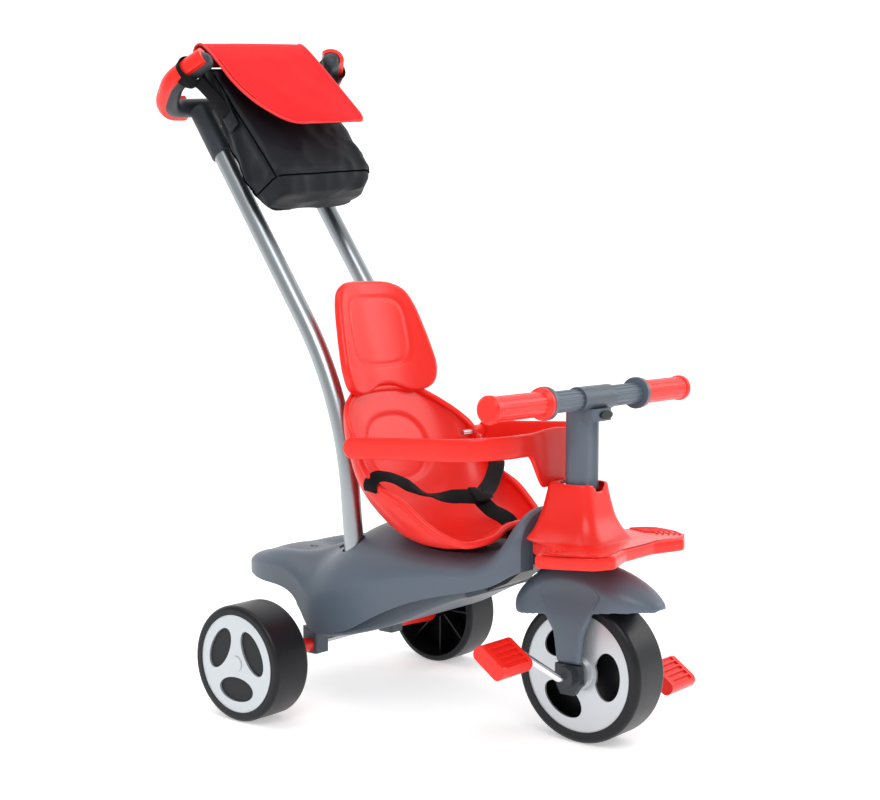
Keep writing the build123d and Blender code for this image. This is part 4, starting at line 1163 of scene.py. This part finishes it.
class TricycleMouldings(bpy.types.PropertyGroup):
    """Sizes of the moulded details."""

    head_panel: length_setting("Panel depth", "Depth of the headrest's groove", 0.0016)
    rim_radius: length_setting("Rim radius", "Radius of the seat's rolled rim", 0.005)
    ring_thickness: length_setting("Ring thickness", "Thickness of the ring's rail", 0.009)
    cowl_softness: passes_setting("Cowl softness", "Passes that round the cowl's edges", 22)
    cowl_foot: length_setting("Cowl foot", "How far the tower's foot runs out", 0.013)
    fork_softness: passes_setting("Fork softness", "Passes that round the fork's edges", 30)
    leg_flare: plain_setting("Leg flare", "Widening of a fork leg's top, as a share", 0.9)
    tray_depth: length_setting("Tray depth", "Hollow behind the push tubes", 0.030)
    seat_pommel: length_setting("Pommel", "Height of the bump between the legs", 0.009)
    seat_recess: length_setting("Back panel", "Depth of the seat back's oval", 0.0022)


class TricycleStudio(bpy.types.PropertyGroup):
    """Lights of the stage."""

    key_light: bpy.props.FloatProperty(
        name="Key light", description="Power of the main light", default=30.0, unit="POWER"
    )
    floor_glow: plain_setting("Floor glow", "Light that the paper sweep gives back", 0.42)
    fill_light: plain_setting("Fill light", "Brightness of the surroundings", 0.55)


class TRICYCLE_OT_finishes(bpy.types.Operator):
    """Paints the materials and dresses the frame"""

    bl_idname = "tricycle.finishes"
    bl_label = "Finishes"

    def execute(self, context):
        paint_materials(context.scene.tricycle_finish)
        dress_frame()
        return {"FINISHED"}


class TRICYCLE_OT_bag(bpy.types.Operator):
    """Sews the bag and its hangers"""

    bl_idname = "tricycle.bag"
    bl_label = "Bag"

    def execute(self, context):
        make_bag(context.scene.tricycle_soft)
        make_hangers(context.scene.tricycle_soft)
        return {"FINISHED"}


class TRICYCLE_OT_flap(bpy.types.Operator):
    """Cuts and drapes the bag's flap"""

    bl_idname = "tricycle.flap"
    bl_label = "Flap"

    def execute(self, context):
        make_flap(context.scene.tricycle_soft)
        return {"FINISHED"}


class TRICYCLE_OT_harness(bpy.types.Operator):
    """Lays the harness webbing in the seat"""

    bl_idname = "tricycle.harness"
    bl_label = "Harness"

    def execute(self, context):
        make_harness(context.scene.tricycle_soft)
        return {"FINISHED"}


class TRICYCLE_OT_seat(bpy.types.Operator):
    """Moulds the headrest and the seat's details"""

    bl_idname = "tricycle.seat"
    bl_label = "Seat and headrest"

    def execute(self, context):
        make_headrest(context.scene.tricycle_moulded)
        make_seat(context.scene.tricycle_moulded)
        return {"FINISHED"}


class TRICYCLE_OT_cowl(bpy.types.Operator):
    """Moulds the cowl with its footrests, the safety ring, the fork and the body"""

    bl_idname = "tricycle.cowl"
    bl_label = "Cowl"

    def execute(self, context):
        make_cowl(context.scene.tricycle_moulded)
        make_ring(context.scene.tricycle_moulded)
        make_fork(context.scene.tricycle_moulded)
        make_body(context.scene.tricycle_moulded)
        return {"FINISHED"}


class TRICYCLE_OT_stage(bpy.types.Operator):
    """Sets the floor, the lights and the camera"""

    bl_idname = "tricycle.stage"
    bl_label = "Stage"

    def execute(self, context):
        make_stage(context.scene.tricycle_studio)
        return {"FINISHED"}


class TRICYCLE_PT_pieces(bpy.types.Panel):
    """Lists the pieces of the tricycle and their sizes"""

    bl_label = "Tricycle"
    bl_idname = "TRICYCLE_PT_pieces"
    bl_space_type = "VIEW_3D"
    bl_region_type = "UI"
    bl_category = "Tricycle"

    def draw(self, context):
        for step in STEPS:
            self.layout.operator(step.bl_idname)
        for place, _ in GROUPS:
            group = getattr(context.scene, place)
            for name in group.__annotations__:
                self.layout.prop(group, name)


STEPS = (
    TRICYCLE_OT_stage,
    TRICYCLE_OT_finishes,
    TRICYCLE_OT_bag,
    TRICYCLE_OT_flap,
    TRICYCLE_OT_harness,
    TRICYCLE_OT_seat,
    TRICYCLE_OT_cowl,
)
GROUPS = (
    ("tricycle_finish", TricycleFinishes), ("tricycle_soft", TricycleSoftGoods),
    ("tricycle_moulded", TricycleMouldings), ("tricycle_studio", TricycleStudio),
)


def register():
    for name, group in GROUPS:
        bpy.utils.register_class(group)
        setattr(bpy.types.Scene, name, bpy.props.PointerProperty(type=group))
    for step in STEPS:
        bpy.utils.register_class(step)
    bpy.utils.register_class(TRICYCLE_PT_pieces)


def unregister():
    bpy.utils.unregister_class(TRICYCLE_PT_pieces)
    for step in reversed(STEPS):
        bpy.utils.unregister_class(step)
    for name, group in reversed(GROUPS):
        delattr(bpy.types.Scene, name)
        bpy.utils.unregister_class(group)


def main():
    register()
    bpy.ops.tricycle.stage()
    bpy.ops.tricycle.finishes()
    bpy.ops.tricycle.bag()
    bpy.ops.tricycle.flap()
    bpy.ops.tricycle.harness()
    bpy.ops.tricycle.seat()
    bpy.ops.tricycle.cowl()


if __name__ == "__main__":
    main()
